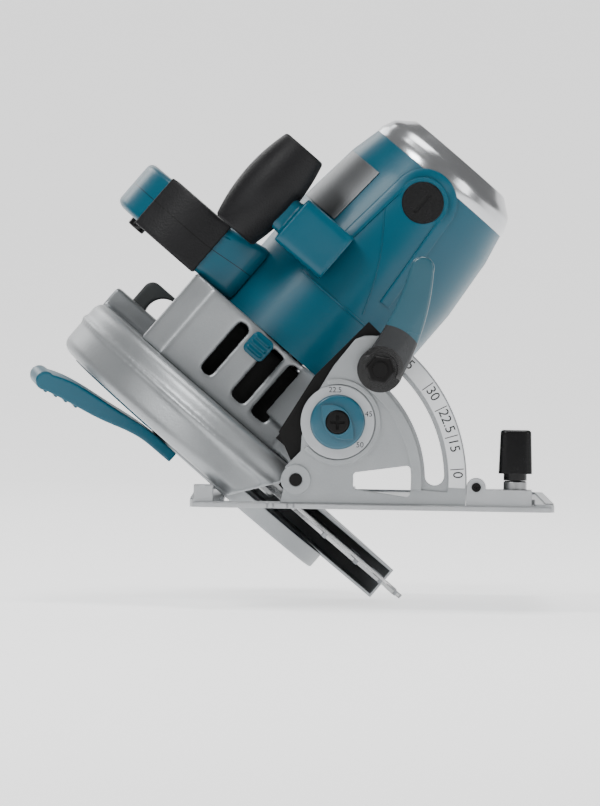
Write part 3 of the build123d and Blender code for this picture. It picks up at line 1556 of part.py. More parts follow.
with BuildPart() as depth_lever:
    with BuildSketch(across(depth_lever_start)):
        with Locations(depth_bolt_at):
            Circle(8.0)
        with BuildLine():
            dy, dh = depth_bolt_at
            edge = Line((dy + 2, dh + 7.5), (dy + 56, dh + 22))
            end = ThreePointArc(edge @ 1, (dy + 63, dh + 18), (dy + 58, dh + 11))
            Polyline(end @ 1, (dy + 4, dh - 7), edge @ 0)
        make_face()
        with Locations(depth_bolt_at):
            Circle(depth_bolt_radius + run_gap, mode=Mode.SUBTRACT)
    extrude(amount=depth_lever_thickness)
write(depth_lever, "depth_lever")
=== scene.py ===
import json
import logging
from dataclasses import dataclass, field
from enum import Enum
from math import cos, pi, radians, sin, sqrt
from typing import Sequence, Union

import bmesh
import bpy
import numpy as np
from mathutils import Matrix, Vector
from mathutils.bvhtree import BVHTree


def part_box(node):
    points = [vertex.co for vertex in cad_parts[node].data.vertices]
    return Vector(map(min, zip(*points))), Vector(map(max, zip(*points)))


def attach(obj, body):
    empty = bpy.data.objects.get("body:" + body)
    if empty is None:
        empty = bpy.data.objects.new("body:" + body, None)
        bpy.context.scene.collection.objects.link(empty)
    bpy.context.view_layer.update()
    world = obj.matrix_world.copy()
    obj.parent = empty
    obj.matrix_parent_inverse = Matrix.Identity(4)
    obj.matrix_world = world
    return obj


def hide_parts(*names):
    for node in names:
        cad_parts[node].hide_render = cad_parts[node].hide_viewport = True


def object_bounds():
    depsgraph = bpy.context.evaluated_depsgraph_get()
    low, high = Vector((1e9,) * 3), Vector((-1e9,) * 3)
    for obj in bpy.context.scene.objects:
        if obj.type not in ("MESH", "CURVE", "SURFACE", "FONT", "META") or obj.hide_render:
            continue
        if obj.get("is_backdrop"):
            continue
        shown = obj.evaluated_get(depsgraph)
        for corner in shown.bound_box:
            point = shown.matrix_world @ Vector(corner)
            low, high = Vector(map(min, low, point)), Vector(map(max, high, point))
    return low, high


log = logging.getLogger("circular_saw")
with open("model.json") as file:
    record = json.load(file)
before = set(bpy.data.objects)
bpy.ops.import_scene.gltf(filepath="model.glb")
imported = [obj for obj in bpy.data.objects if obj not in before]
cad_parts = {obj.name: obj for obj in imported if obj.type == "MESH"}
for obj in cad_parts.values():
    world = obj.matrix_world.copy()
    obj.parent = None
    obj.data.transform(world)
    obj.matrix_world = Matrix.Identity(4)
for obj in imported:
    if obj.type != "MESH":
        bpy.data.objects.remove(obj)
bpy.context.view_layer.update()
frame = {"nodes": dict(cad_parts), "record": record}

MM = 0.001
Number = Union[int, float]
Colour = tuple[float, float, float]


# ---------------------------------------------------------------- the head's own axes
@dataclass(frozen=True)
class HeadAxes:
    """The tilted axes of the saw's head: u along the motor, h up the blade."""

    tilt: float = radians(50.0)
    pivot_x: float = -40.0
    pivot_z: float = 15.0
    blade_offset: float = 13.0

    @property
    def along(self) -> np.ndarray:
        """Direction of the motor axis."""
        return np.array([cos(self.tilt), 0.0, sin(self.tilt)])

    @property
    def up(self) -> np.ndarray:
        """Direction up the blade."""
        return np.array([-sin(self.tilt), 0.0, cos(self.tilt)])

    def place(self, u: np.ndarray, y: np.ndarray, h: np.ndarray) -> np.ndarray:
        """Points of the row frame from head coordinates: pivot + (u - offset) along + (h - pivot height) up.

        Args:
            u: distance along the motor, mm.
            y: distance to the rear, mm.
            h: height up the blade, mm.

        Returns:
            An (n, 3) array in metres.
        """
        u, y, h = np.broadcast_arrays(np.asarray(u, float), np.asarray(y, float), np.asarray(h, float))
        origin = np.array([self.pivot_x, 0.0, self.pivot_z])
        points = origin + (u.ravel() - self.blade_offset)[:, None] * self.along
        points = points + (h.ravel() - self.pivot_z)[:, None] * self.up
        points[:, 1] += y.ravel()
        return points * MM


HEAD = HeadAxes()


@dataclass(frozen=True)
class HandleTaper:
    """How the main handle narrows upwards, mm: the face that stays, the heights it spans, the share."""

    face: float = 58.4
    seam: float = 77.0
    start: float = 100.0
    end: float = 137.0
    drop: float = 0.16


TAPER = HandleTaper()


# ---------------------------------------------------------------- shader maths
class Wave:
    """A shader value that adds its Math nodes when it is used in an expression."""

    def __init__(self, finish: "NodeBoard", socket: bpy.types.NodeSocket) -> None:
        """Wraps one output socket."""
        self.board = finish
        self.socket = socket

    def _math(self, operation: str, *others: Union["Wave", Number], flip: bool = False) -> "Wave":
        """One Math node on this value and the others.

        Args:
            operation: the Math node's operation.
            others: further operands.
            flip: whether the first two operands change places.

        Returns:
            The node's result.
        """
        operands = [self, *others]
        if flip:
            operands[0], operands[1] = operands[1], operands[0]
        return self.board.add("ShaderNodeMath", {"operation": operation}, dict(enumerate(operands)))

    def __add__(self, other: Union["Wave", Number]) -> "Wave":
        """Sum."""
        return self._math("ADD", other)

    __radd__ = __add__

    def __mul__(self, other: Union["Wave", Number]) -> "Wave":
        """Product."""
        return self._math("MULTIPLY", other)

    __rmul__ = __mul__

    def __sub__(self, other: Union["Wave", Number]) -> "Wave":
        """Difference."""
        return self._math("SUBTRACT", other)

    def __rsub__(self, other: Number) -> "Wave":
        """Reflected difference."""
        return self._math("SUBTRACT", other, flip=True)

    def power(self, other: Number) -> "Wave":
        """This value raised to a power."""
        return self._math("POWER", other)

    def above(self, edge: Number) -> "Wave":
        """1 where the value is greater than the edge."""
        return self._math("GREATER_THAN", edge)

    def clamp(self) -> "Wave":
        """The value kept between 0 and 1."""
        return self._math("MINIMUM", 1.0)._math("MAXIMUM", 0.0)


class NodeBoard:
    """One material's node tree, with one method that adds any node."""

    def __init__(self, name: str) -> None:
        """Starts an empty tree with a Principled shader and Object coordinates."""
        self.material = bpy.data.materials.new(name)
        self.material.use_nodes = True
        self.tree = self.material.node_tree
        self.tree.nodes.clear()
        self.output = self.tree.nodes.new("ShaderNodeOutputMaterial")
        self.shader = self.tree.nodes.new("ShaderNodeBsdfPrincipled")
        self.tree.links.new(self.shader.outputs[0], self.output.inputs[0])
        self.coords = self.tree.nodes.new("ShaderNodeTexCoord").outputs["Object"]

    def add(self, kind: str, settings: dict, inputs: dict, out: Union[int, str] = 0) -> Wave:
        """Adds a node.

        Args:
            kind: the node's type.
            settings: its properties, set first; "stops" holds a ramp's stops.
            inputs: values or links for its sockets, by index or name.
            out: which output to return.

        Returns:
            The chosen output, wrapped.
        """
        node = self.tree.nodes.new(kind)
        for key, value in settings.items():
            if key == "stops":
                self._stops(node.color_ramp, value)
            else:
                setattr(node, key, value)
        for key, value in inputs.items():
            self.plug(node.inputs[key], value)
        return Wave(self, node.outputs[out])

    def head_coordinates(self) -> tuple["Wave", "Wave", "Wave"]:
        """The head coordinates u, y and h of each point, metres: dot products with the head's axes."""
        origin = HEAD.place(np.zeros(1), np.zeros(1), np.zeros(1))[0]
        along = self.add("ShaderNodeVectorMath", {"operation": "DOT_PRODUCT"},
                         {0: self.coords, 1: tuple(HEAD.along)}, "Value")
        up = self.add("ShaderNodeVectorMath", {"operation": "DOT_PRODUCT"},
                      {0: self.coords, 1: tuple(HEAD.up)}, "Value")
        split = self.add("ShaderNodeSeparateXYZ", {}, {0: self.coords}, 1)
        return along - float(origin @ HEAD.along), split, up - float(origin @ HEAD.up)

    def seam(self, width: float) -> "Wave":
        """1 on the handle's part line, which leans with its taper: |u - seam(h)| < width / 2."""
        u, _, h = self.head_coordinates()
        t = ((h - TAPER.start * MM) * (1000.0 / (TAPER.end - TAPER.start))).clamp()
        keep = 1 - t * t * (3 - 2 * t) * TAPER.drop
        offset = u - TAPER.face * MM - keep * ((TAPER.seam - TAPER.face) * MM)
        return 1 - (offset * offset).above((width / 2) ** 2)

    def distance(self, x: float, z: float) -> "Wave":
        """Distance in metres from the line through (x, z) along Y: sqrt((X - x)^2 + (Z - z)^2)."""
        node = self.add("ShaderNodeSeparateXYZ", {}, {0: self.coords}, 0)
        dx = node - x
        dz = Wave(self, node.socket.node.outputs[2]) - z
        return (dx * dx + dz * dz).power(0.5)

    @staticmethod
    def _stops(ramp: bpy.types.ColorRamp, stops: Sequence[tuple[float, Colour]]) -> None:
        """Sets a ramp's stops."""
        while len(ramp.elements) < len(stops):
            ramp.elements.new(0.5)
        for element, (where, colour) in zip(ramp.elements, stops):
            element.position = where
            element.color = (*colour, 1.0)

    def plug(self, socket: bpy.types.NodeSocket, value: object) -> None:
        """Links a value into a socket, or sets it."""
        if isinstance(value, Wave):
            self.tree.links.new(value.socket, socket)
        elif isinstance(value, bpy.types.NodeSocket):
            self.tree.links.new(value, socket)
        elif isinstance(value, tuple) and len(value) == 3 and len(socket.default_value) == 4:
            socket.default_value = (*value, 1.0)
        else:
            socket.default_value = value

    def noise(self, scale: float, detail: float = 3.0, stretch: tuple = (1.0, 1.0, 1.0)) -> Wave:
        """Noise over the object, in cells per metre.

        Args:
            scale: cells per metre.
            detail: octaves.
            stretch: scale along each axis.

        Returns:
            A value about 0.5.
        """
        where = self.add("ShaderNodeMapping", {}, {"Vector": self.coords, "Scale": stretch})
        return self.add("ShaderNodeTexNoise", {}, {"Vector": where, "Scale": scale, "Detail": detail})

    def cells(self, scale: float, feature: str = "F1") -> Wave:
        """Distance to the nearest scattered point, in cells per metre."""
        return self.add("ShaderNodeTexVoronoi", {"feature": feature}, {"Vector": self.coords, "Scale": scale})

    def mix(self, share: Wave, first: Colour, second: Colour) -> Wave:
        """A colour between two, by a share from 0 to 1."""
        node = self.tree.nodes.new("ShaderNodeMix")
        node.data_type = "RGBA"
        self.plug(node.inputs[0], share)
        self.plug(node.inputs[6], first)
        self.plug(node.inputs[7], second)
        return Wave(self, node.outputs[2])

    def height(self, wave: Wave, depth: float, edge: float = 0.0) -> None:
        """Feeds a height into the shader's normal through a bump.

        Args:
            wave: height from 0 to 1.
            depth: its depth, metres.
            edge: radius of softened edges, metres.
        """
        inputs = {"Height": wave, "Distance": depth, "Strength": 1.0}
        if edge > 0:
            inputs["Normal"] = self.add("ShaderNodeBevel", {"samples": 4}, {"Radius": edge})
        self.set("Normal", self.add("ShaderNodeBump", {}, inputs))

    def set(self, name: str, value: object) -> None:
        """Sets or links one socket of the shader."""
        self.plug(self.shader.inputs[name], value)


# ---------------------------------------------------------------- finishes
@dataclass(frozen=True)
class MouldedPlastic:
    """Satin-gloss moulded nylon with a fine spark texture and light scuffing."""

    name: str
    colour: Colour
    worn: Colour
    gloss: float = 0.3
    coat: float = 0.25
    grain: float = 2600.0
    depth: float = 0.00003
    edge: float = 0.0006
    seam: float = 0.0
    shine: float = 0.3

    def make(self) -> bpy.types.Material:
        """Builds the material: colour drifts with a slow noise, gloss with a finer one."""
        board = NodeBoard(self.name)
        drift = board.noise(28.0, 4.0)
        scuff = board.noise(420.0, 5.0, (1.0, 0.35, 1.0))
        marks = ((scuff - 0.64) * 7.0).clamp()
        paint = board.mix((drift * 0.5 + marks * 0.25).clamp(), self.colour, self.worn)
        if self.seam > 0:
            paint = board.mix(board.seam(self.seam), paint, tuple(c * 0.2 for c in self.colour))
        board.set("Base Color", paint)
        board.set("Roughness", (drift * 0.1 + marks * 0.16 + (self.gloss - 0.05)).clamp())
        board.set("Specular IOR Level", self.shine)
        board.set("Coat Weight", self.coat)
        board.set("Coat Roughness", 0.18)
        board.height(board.noise(self.grain, 2.0), self.depth, self.edge)
        return board.material


@dataclass(frozen=True)
class SoftRubber:
    """Matt overmoulded elastomer with a pebbled skin."""

    name: str
    colour: Colour = (0.0060, 0.0060, 0.0068)
    dusted: Colour = (0.0115, 0.0115, 0.0125)
    pebbles: float = 950.0
    depth: float = 0.00009
    edge: float = 0.0009
    seam: float = 0.0
    shine: float = 0.22

    def make(self) -> bpy.types.Material:
        """Builds the material: small round cells raise the skin, and dust pales it."""
        board = NodeBoard(self.name)
        dust = board.noise(60.0, 5.0)
        paint = board.mix(((dust - 0.4) * 2.2).clamp(), self.colour, self.dusted)
        if self.seam > 0:
            paint = board.mix(board.seam(self.seam), paint, (0.001, 0.001, 0.001))
        board.set("Base Color", paint)
        board.set("Roughness", (dust * 0.22 + 0.40).clamp())
        board.set("Specular IOR Level", self.shine)
        board.height(board.cells(self.pebbles), self.depth, self.edge)
        return board.material


@dataclass(frozen=True)
class CastMetal:
    """Silver enamel on a die casting: a fine orange peel and small metallic flecks."""

    name: str
    colour: Colour = (0.27, 0.285, 0.295)
    bright: Colour = (0.44, 0.455, 0.465)
    metal: float = 0.62
    gloss: float = 0.36
    depth: float = 0.00006
    edge: float = 0.0008

    def make(self) -> bpy.types.Material:
        """Builds the material: flecks lighten it, handling marks dull it."""
        board = NodeBoard(self.name)
        peel = board.noise(700.0, 3.0)
        cloud = board.noise(35.0, 4.0)
        fleck = ((board.noise(5200.0, 1.0) - 0.58) * 5.0).clamp()
        board.set("Base Color", board.mix((fleck * 0.5 + cloud * 0.55).clamp(), self.colour, self.bright))
        board.set("Metallic", self.metal)
        board.set("Roughness", (cloud * 0.16 + peel * 0.08 + (self.gloss - 0.1)).clamp())
        board.height(peel, self.depth, self.edge)
        return board.material


@dataclass(frozen=True)
class MachinedSteel:
    """Bare or plated metal with fine tool lines."""

    name: str
    colour: Colour = (0.42, 0.425, 0.43)
    shade: Colour = (0.28, 0.285, 0.29)
    gloss: float = 0.28
    lines: tuple = (1.0, 1.0, 30.0)
    depth: float = 0.00002
    edge: float = 0.0004

    def make(self) -> bpy.types.Material:
        """Builds the material: noise stretched into lines varies colour, gloss and height."""
        board = NodeBoard(self.name)
        tooling = board.noise(140.0, 4.0, self.lines)
        stain = board.noise(45.0, 4.0)
        board.set("Base Color", board.mix((stain * 0.7 + tooling * 0.3).clamp(), self.colour, self.shade))
        board.set("Metallic", 1.0)
        board.set("Roughness", (tooling * 0.16 + stain * 0.1 + (self.gloss - 0.12)).clamp())
        board.height(tooling, self.depth, self.edge)
        return board.material


@dataclass(frozen=True)
class EnamelPaint:
    """Smooth printed or painted face."""

    name: str
    colour: Colour
    faded: Colour
    gloss: float = 0.4
    edge: float = 0.0003
    shine: float = 0.25

    def make(self) -> bpy.types.Material:
        """Builds the material: paint fades slightly and has a faint peel."""
        board = NodeBoard(self.name)
        fade = board.noise(80.0, 4.0)
        board.set("Specular IOR Level", self.shine)
        board.set("Base Color", board.mix(fade, self.colour, self.faded))
        board.set("Roughness", (fade * 0.14 + (self.gloss - 0.07)).clamp())
        board.height(board.noise(1500.0, 2.0), 0.00002, self.edge)
        return board.material


@dataclass(frozen=True)
class VentedCasting:
    """The silver casting, with painted shade (near black and dull) inside its cooling slots."""

    name: str
    skin: float = -0.0713
    deep: float = -0.0200
    low: tuple[float, float] = (0.0185, 0.0435)
    high: tuple[float, float] = (0.0585, 0.0955)

    def make(self) -> bpy.types.Material:
        """Builds the material: inside the box given in head coordinates it turns black and dull, as painted
        shade in the slots' hollow.
        """
        board = NodeBoard(self.name)
        base = CastMetal("")
        u, y, h = board.head_coordinates()
        # painted shade: this mask marks the hollow behind the cooling slots, which is coloured near black in
        # place of real shade
        painted_slot_shade = y.above(self.skin) * (1 - y.above(self.deep))
        painted_slot_shade = painted_slot_shade * u.above(self.low[0]) * (1 - u.above(self.high[0]))
        painted_slot_shade = painted_slot_shade * h.above(self.low[1]) * (1 - h.above(self.high[1]))
        peel = board.noise(700.0, 3.0)
        cloud = board.noise(35.0, 4.0)
        fleck = ((board.noise(5200.0, 1.0) - 0.58) * 5.0).clamp()
        metal = board.mix((fleck * 0.5 + cloud * 0.55).clamp(), base.colour, base.bright)
        # painted shade: the slots' hollow takes a near-black colour
        board.set("Base Color", board.mix(painted_slot_shade, metal, (0.006, 0.006, 0.006)))
        board.set("Metallic", (1 - painted_slot_shade) * base.metal)
        board.set("Roughness", (cloud * 0.16 + peel * 0.08 + painted_slot_shade * 0.4 + (base.gloss - 0.1)).clamp())
        board.height(peel, base.depth, base.edge)
        return board.material


@dataclass(frozen=True)
class RingedFinish:
    """A finish that changes at two radii round an axis that runs front to back."""

    name: str
    centre: tuple[float, float]
    radii: tuple[float, float]
    colours: tuple[Colour, Colour, Colour]
    metals: tuple[float, float, float]
    gloss: float = 0.32

    def make(self) -> bpy.types.Material:
        """Builds the material: two step masks of the distance from the axis choose the colour and metal."""
        board = NodeBoard(self.name)
        reach = board.distance(*self.centre)
        first, second = reach.above(self.radii[0]), reach.above(self.radii[1])
        drift = board.noise(40.0, 4.0)
        tint = board.mix(second, board.mix(first, self.colours[0], self.colours[1]), self.colours[2])
        pale = tuple(min(1.0, c * 1.5 + 0.01) for c in self.colours[2])
        board.set("Base Color", board.mix((drift * second * 0.5).clamp(), tint, pale))
        metal = first * (self.metals[1] - self.metals[0]) + second * (self.metals[2] - self.metals[1])
        board.set("Metallic", (metal + self.metals[0]).clamp())
        board.set("Roughness", (drift * 0.14 + (self.gloss - 0.07)).clamp())
        board.set("Coat Weight", 0.3)
        board.height(board.noise(1600.0, 2.0), 0.00003, 0.0006)
        return board.material


@dataclass(frozen=True)
class WoundCopper:
    """Lacquered copper."""

    name: str
    colour: Colour = (0.55, 0.24, 0.10)
    dark: Colour = (0.30, 0.12, 0.05)

    def make(self) -> bpy.types.Material:
        """Builds the material: strands show as stretched noise."""
        board = NodeBoard(self.name)
        strands = board.noise(500.0, 2.0, (1.0, 12.0, 1.0))
        board.set("Base Color", board.mix(strands, self.colour, self.dark))
        board.set("Metallic", 1.0)
        board.set("Roughness", (strands * 0.2 + 0.28).clamp())
        board.height(strands, 0.0001)
        return board.material


NYLON_TEAL: Colour = (0.0003, 0.070, 0.112)
NYLON_TEAL_WORN: Colour = (0.001, 0.088, 0.136)


class Finish(Enum):
    """The saw's finishes."""

    TEAL = MouldedPlastic("teal_nylon", NYLON_TEAL, NYLON_TEAL_WORN, gloss=0.36, coat=0.1)
    TEAL_BADGE = EnamelPaint("teal_badge", (0.0003, 0.066, 0.105), (0.001, 0.082, 0.126))
    VENTED = VentedCasting("vented_casting")
    DIAL = RingedFinish("stop_dial", (-0.0187, 0.0454), (0.0005, 0.0143),
                        (NYLON_TEAL, NYLON_TEAL, (0.37, 0.385, 0.40)), (0.0, 0.0, 0.6))
    LEVER = RingedFinish("bevel_lever", (0.0030, 0.0731), (0.0122, 0.0235),
                         ((0.003, 0.003, 0.0033), (0.030, 0.032, 0.034), (0.010, 0.062, 0.088)),
                         (0.0, 0.4, 0.0), gloss=0.26)
    DARK_NYLON = MouldedPlastic("dark_nylon", (0.060, 0.066, 0.066), (0.095, 0.10, 0.10), gloss=0.5, coat=0.0)
    BLACK_GLOSS = MouldedPlastic("black_phenolic", (0.0022, 0.0022, 0.0025), (0.0050, 0.0050, 0.0056),
                                 gloss=0.26, coat=0.2, shine=0.25)
    BLACK_METAL = EnamelPaint("black_enamel", (0.0020, 0.0018, 0.0018), (0.0045, 0.0042, 0.0042),
                              gloss=0.38, shine=0.18)
    RUBBER = SoftRubber("black_elastomer")
    SEAMED_RUBBER = SoftRubber("grip_elastomer", seam=0.00055)
    SEAMED_TEAL = MouldedPlastic("handle_nylon", NYLON_TEAL, NYLON_TEAL_WORN, gloss=0.36, coat=0.1,
                                 seam=0.00045)
    CASTING = CastMetal("silver_casting")
    BASE = CastMetal("base_alloy", (0.36, 0.375, 0.385), (0.52, 0.53, 0.545), metal=0.7, gloss=0.34)
    SCALE = EnamelPaint("scale_enamel", (0.56, 0.575, 0.59), (0.66, 0.67, 0.68))
    INK = EnamelPaint("black_ink", (0.012, 0.012, 0.013), (0.03, 0.03, 0.032))
    CHROME = MachinedSteel("bright_chrome", (0.58, 0.59, 0.605), (0.48, 0.49, 0.505), 0.20,
                           (1.0, 1.0, 1.0), 0.000004)
    STEEL = MachinedSteel("turned_steel")
    BLADE = MachinedSteel("ground_blade", (0.46, 0.465, 0.47), (0.34, 0.345, 0.35), 0.25, (1.0, 1.0, 16.0))
    LABEL = MachinedSteel("label_alloy", (0.20, 0.207, 0.212), (0.15, 0.155, 0.16), 0.42,
                          (22.0, 1.0, 1.0), 0.00001)
    CARBIDE = MachinedSteel("carbide", (0.26, 0.27, 0.28), (0.18, 0.19, 0.20), 0.34)
    COPPER = WoundCopper("wound_copper")


class FinishShop:
    """Makes each finish once."""

    def __init__(self) -> None:
        """Starts with nothing made."""
        self.made: dict[Finish, bpy.types.Material] = {}

    def get(self, finish: Finish) -> bpy.types.Material:
        """The material of a finish."""
        if finish not in self.made:
            self.made[finish] = finish.value.make()
        return self.made[finish]


# ---------------------------------------------------------------- mesh making
class Bench:
    """Turns arrays into finished pieces and refines the frame's nodes."""

    smooth_angle: float = radians(32.0)
    weld: float = 2e-6

    def __init__(self, shop: FinishShop) -> None:
        """Keeps the finishes and what body each node belongs to."""
        self.shop = shop
        bodies = frame["record"]["behaviour"]["bodies"]
        self.body_of = {node: body for body, nodes in bodies.items() for node in nodes}

    def _finish(self, mesh: bpy.types.Mesh, name: str, body: str, finish: Finish) -> bpy.types.Object:
        """Puts a mesh into the scene on its body with its material."""
        mesh.materials.clear()
        mesh.materials.append(self.shop.get(finish))
        piece = bpy.data.objects.new(name, mesh)
        bpy.context.scene.collection.objects.link(piece)
        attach(piece, body)
        log.info("%s: %d faces on %s", name, len(mesh.polygons), body)
        return piece

    def _soften(self, mesh: bpy.types.Mesh, recalc: bool) -> None:
        """Merges doubles, and marks edges sharper than the smooth angle."""
        work = bmesh.new()
        work.from_mesh(mesh)
        bmesh.ops.remove_doubles(work, verts=work.verts, dist=self.weld)
        if recalc:
            bmesh.ops.recalc_face_normals(work, faces=work.faces)
        for face in work.faces:
            face.smooth = True
        for edge in work.edges:
            edge.smooth = len(edge.link_faces) == 2 and edge.calc_face_angle() < self.smooth_angle
        work.to_mesh(mesh)
        work.free()

    def refine(self, node: str, finish: Finish) -> bpy.types.Object:
        """Shows a frame node as a merged, smooth-shaded copy.

        Args:
            node: the node's name.
            finish: its finish.

        Returns:
            The piece that stands for the node.
        """
        mesh = frame["nodes"][node].data.copy()
        for name in [a.name for a in mesh.attributes if a.name == "custom_normal"]:
            mesh.attributes.remove(mesh.attributes[name])
        self._soften(mesh, recalc=False)
        piece = self._finish(mesh, f"{node}_skin", self.body_of[node], finish)
        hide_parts(node)
        return piece

    def mould(self, nodes: tuple[str, ...], finish: Finish, pitch: float, passes: int,
              taper: bool = False) -> bpy.types.Object:
        """Shows frame nodes of one body as a single moulded copy whose edges round over.

        The merged copy is rebuilt on an even grid, and each point then moves towards the mean of its
        neighbours a few times. An optional taper narrows the copy towards the low-u face above a height.

        Args:
            nodes: the nodes' names.
            finish: its finish.
            pitch: the grid's pitch, mm.
            passes: how many times the points are relaxed.
            taper: whether the handle's taper is used.

        Returns:
            The piece that stands for the nodes.
        """
        work = bmesh.new()
        for node in nodes:
            work.from_mesh(frame["nodes"][node].data)
        mesh = bpy.data.meshes.new(nodes[0] + "_blank")
        work.to_mesh(mesh)
        work.free()
        self._soften(mesh, recalc=False)
        holder = bpy.data.objects.new(nodes[0] + "_blank", mesh)
        bpy.context.scene.collection.objects.link(holder)
        grid = holder.modifiers.new("grid", "REMESH")
        grid.mode = "VOXEL"
        grid.voxel_size = pitch * MM
        relax = holder.modifiers.new("relax", "SMOOTH")
        relax.factor = 0.5
        relax.iterations = passes
        thin = holder.modifiers.new("thin", "DECIMATE")
        thin.ratio = 0.35
        bpy.context.view_layer.update()
        made = bpy.data.meshes.new_from_object(holder.evaluated_get(bpy.context.evaluated_depsgraph_get()))
        bpy.data.objects.remove(holder)
        if taper:
            self._taper(made)
        made.shade_smooth()
        piece = self._finish(made, f"{nodes[0]}_skin", self.body_of[nodes[0]], finish)
        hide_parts(*nodes)
        return piece

    def dress(self, finishes: dict, moulded: dict, taper: bool = False) -> None:
        """Shows each node in turn, moulded where its pitch and passes are given and refined elsewhere.

        Args:
            finishes: each node's finish.
            moulded: the pitch and passes of the nodes that are moulded.
            taper: whether the moulded ones take the handle's taper.
        """
        for node, finish in finishes.items():
            if node in moulded:
                self.mould((node,), finish, *moulded[node], taper=taper)
            else:
                self.refine(node, finish)

    def _taper(self, mesh: bpy.types.Mesh) -> None:
        """Narrows the handle upwards: u' = u0 + (u - u0) * (1 - drop * smoothstep of h)."""
        flat = np.empty(len(mesh.vertices) * 3)
        mesh.vertices.foreach_get("co", flat)
        points = flat.reshape(-1, 3)
        origin = HEAD.place(np.zeros(1), np.zeros(1), np.zeros(1))[0]
        u = (points - origin) @ HEAD.along / MM
        h = (points - origin) @ HEAD.up / MM
        t = np.clip((h - TAPER.start) / (TAPER.end - TAPER.start), 0.0, 1.0)
        shift = -(u - TAPER.face) * TAPER.drop * t * t * (3 - 2 * t)
        points += shift[:, None] * HEAD.along[None, :] * MM
        mesh.vertices.foreach_set("co", points.ravel())
        mesh.update()

    def surface(self, points: np.ndarray, rows: int, columns: int, closed: tuple[bool, bool], name: str,
                body: str, finish: Finish) -> bpy.types.Object:
        """A piece from a grid of points, with its two open ends capped.

        Args:
            points: (rows * columns, 3) points in metres, row by row.
            rows: steps of the first parameter.
            columns: steps of the second, which runs round the section.
            closed: whether each parameter closes on itself.
            name: the piece's name.
            body: the body it rides on.
            finish: its finish.

        Returns:
            The finished piece.
        """
        row = np.arange(rows if closed[0] else rows - 1)
        column = np.arange(columns if closed[1] else columns - 1)
        a, b = np.meshgrid(row, column, indexing="ij")
        a, b = a.ravel(), b.ravel()
        a2, b2 = (a + 1) % rows, (b + 1) % columns
        quads = np.stack([a * columns + b, a * columns + b2, a2 * columns + b2, a2 * columns + b], axis=1)
        faces = quads.tolist()
        if not closed[0]:
            faces.append(list(range(columns))[::-1])
            faces.append(list(range((rows - 1) * columns, rows * columns)))
        mesh = bpy.data.meshes.new(name)
        mesh.from_pydata(points.tolist(), [], faces)
        mesh.update()
        self._soften(mesh, recalc=True)
        return self._finish(mesh, name, body, finish)

    def letters(self, text: str, size: float, centre: Vector, right: Vector, up: Vector, raised: float,
                name: str, body: str, finish: Finish) -> bpy.types.Object:
        """Plain raised figures.

        Args:
            text: what they say.
            size: their height, metres.
            centre: the middle of the text.
            right: reading direction.
            up: upright direction.
            raised: thickness, metres.
            name: the piece's name.
            body: the body it rides on.
            finish: its finish.

        Returns:
            The finished piece.
        """
        curve = bpy.data.curves.new(name, "FONT")
        curve.body = text
        curve.size = size
        curve.extrude = raised / 2
        curve.align_x = "CENTER"
        curve.align_y = "CENTER"
        curve.resolution_u = 4
        holder = bpy.data.objects.new(name + "_text", curve)
        bpy.context.scene.collection.objects.link(holder)
        bpy.context.view_layer.update()
        mesh = bpy.data.meshes.new_from_object(holder.evaluated_get(bpy.context.evaluated_depsgraph_get()))
        bpy.data.objects.remove(holder)
        out = right.cross(up)
        turn = Matrix((right, up, out)).transposed().to_4x4()
        mesh.transform(Matrix.Translation(centre) @ turn)
        self._soften(mesh, recalc=True)
        return self._finish(mesh, name, body, finish)


def rounded_section(width: float, height: float, steps: int = 24, power: float = 4.0) -> np.ndarray:
    """A superellipse: x = w/2 * sign(cos t) |cos t|^(2/p), z = h/2 * sign(sin t) |sin t|^(2/p).

    Args:
        width: full width.
        height: full height.
        steps: points round it.
        power: squareness, 2 for an ellipse.

    Returns:
        A (steps, 2) array.
    """
    t = np.linspace(0, 2 * pi, steps, endpoint=False)
    c, s = np.cos(t), np.sin(t)
    x = width / 2 * np.sign(c) * np.abs(c) ** (2 / power)
    z = height / 2 * np.sign(s) * np.abs(s) ** (2 / power)
    return np.stack([x, z], axis=1)


def outward_sweep(path: np.ndarray, outward: np.ndarray, across: np.ndarray,
                  section: np.ndarray) -> np.ndarray:
    """A section carried along a path: point(i, j) = path_i + section_x_j across_i + section_z_j outward_i.

    Args:
        path: (n, 3) points.
        outward: (n, 3) directions off the surface.
        across: (n, 3) directions across the path.
        section: (m, 2) section.

    Returns:
        (n * m, 3) points, row by row.
    """
    sideways = section[None, :, :1] * across[:, None, :]
    grid = path[:, None, :] + sideways + section[None, :, 1:] * outward[:, None, :]
    return grid.reshape(-1, 3)


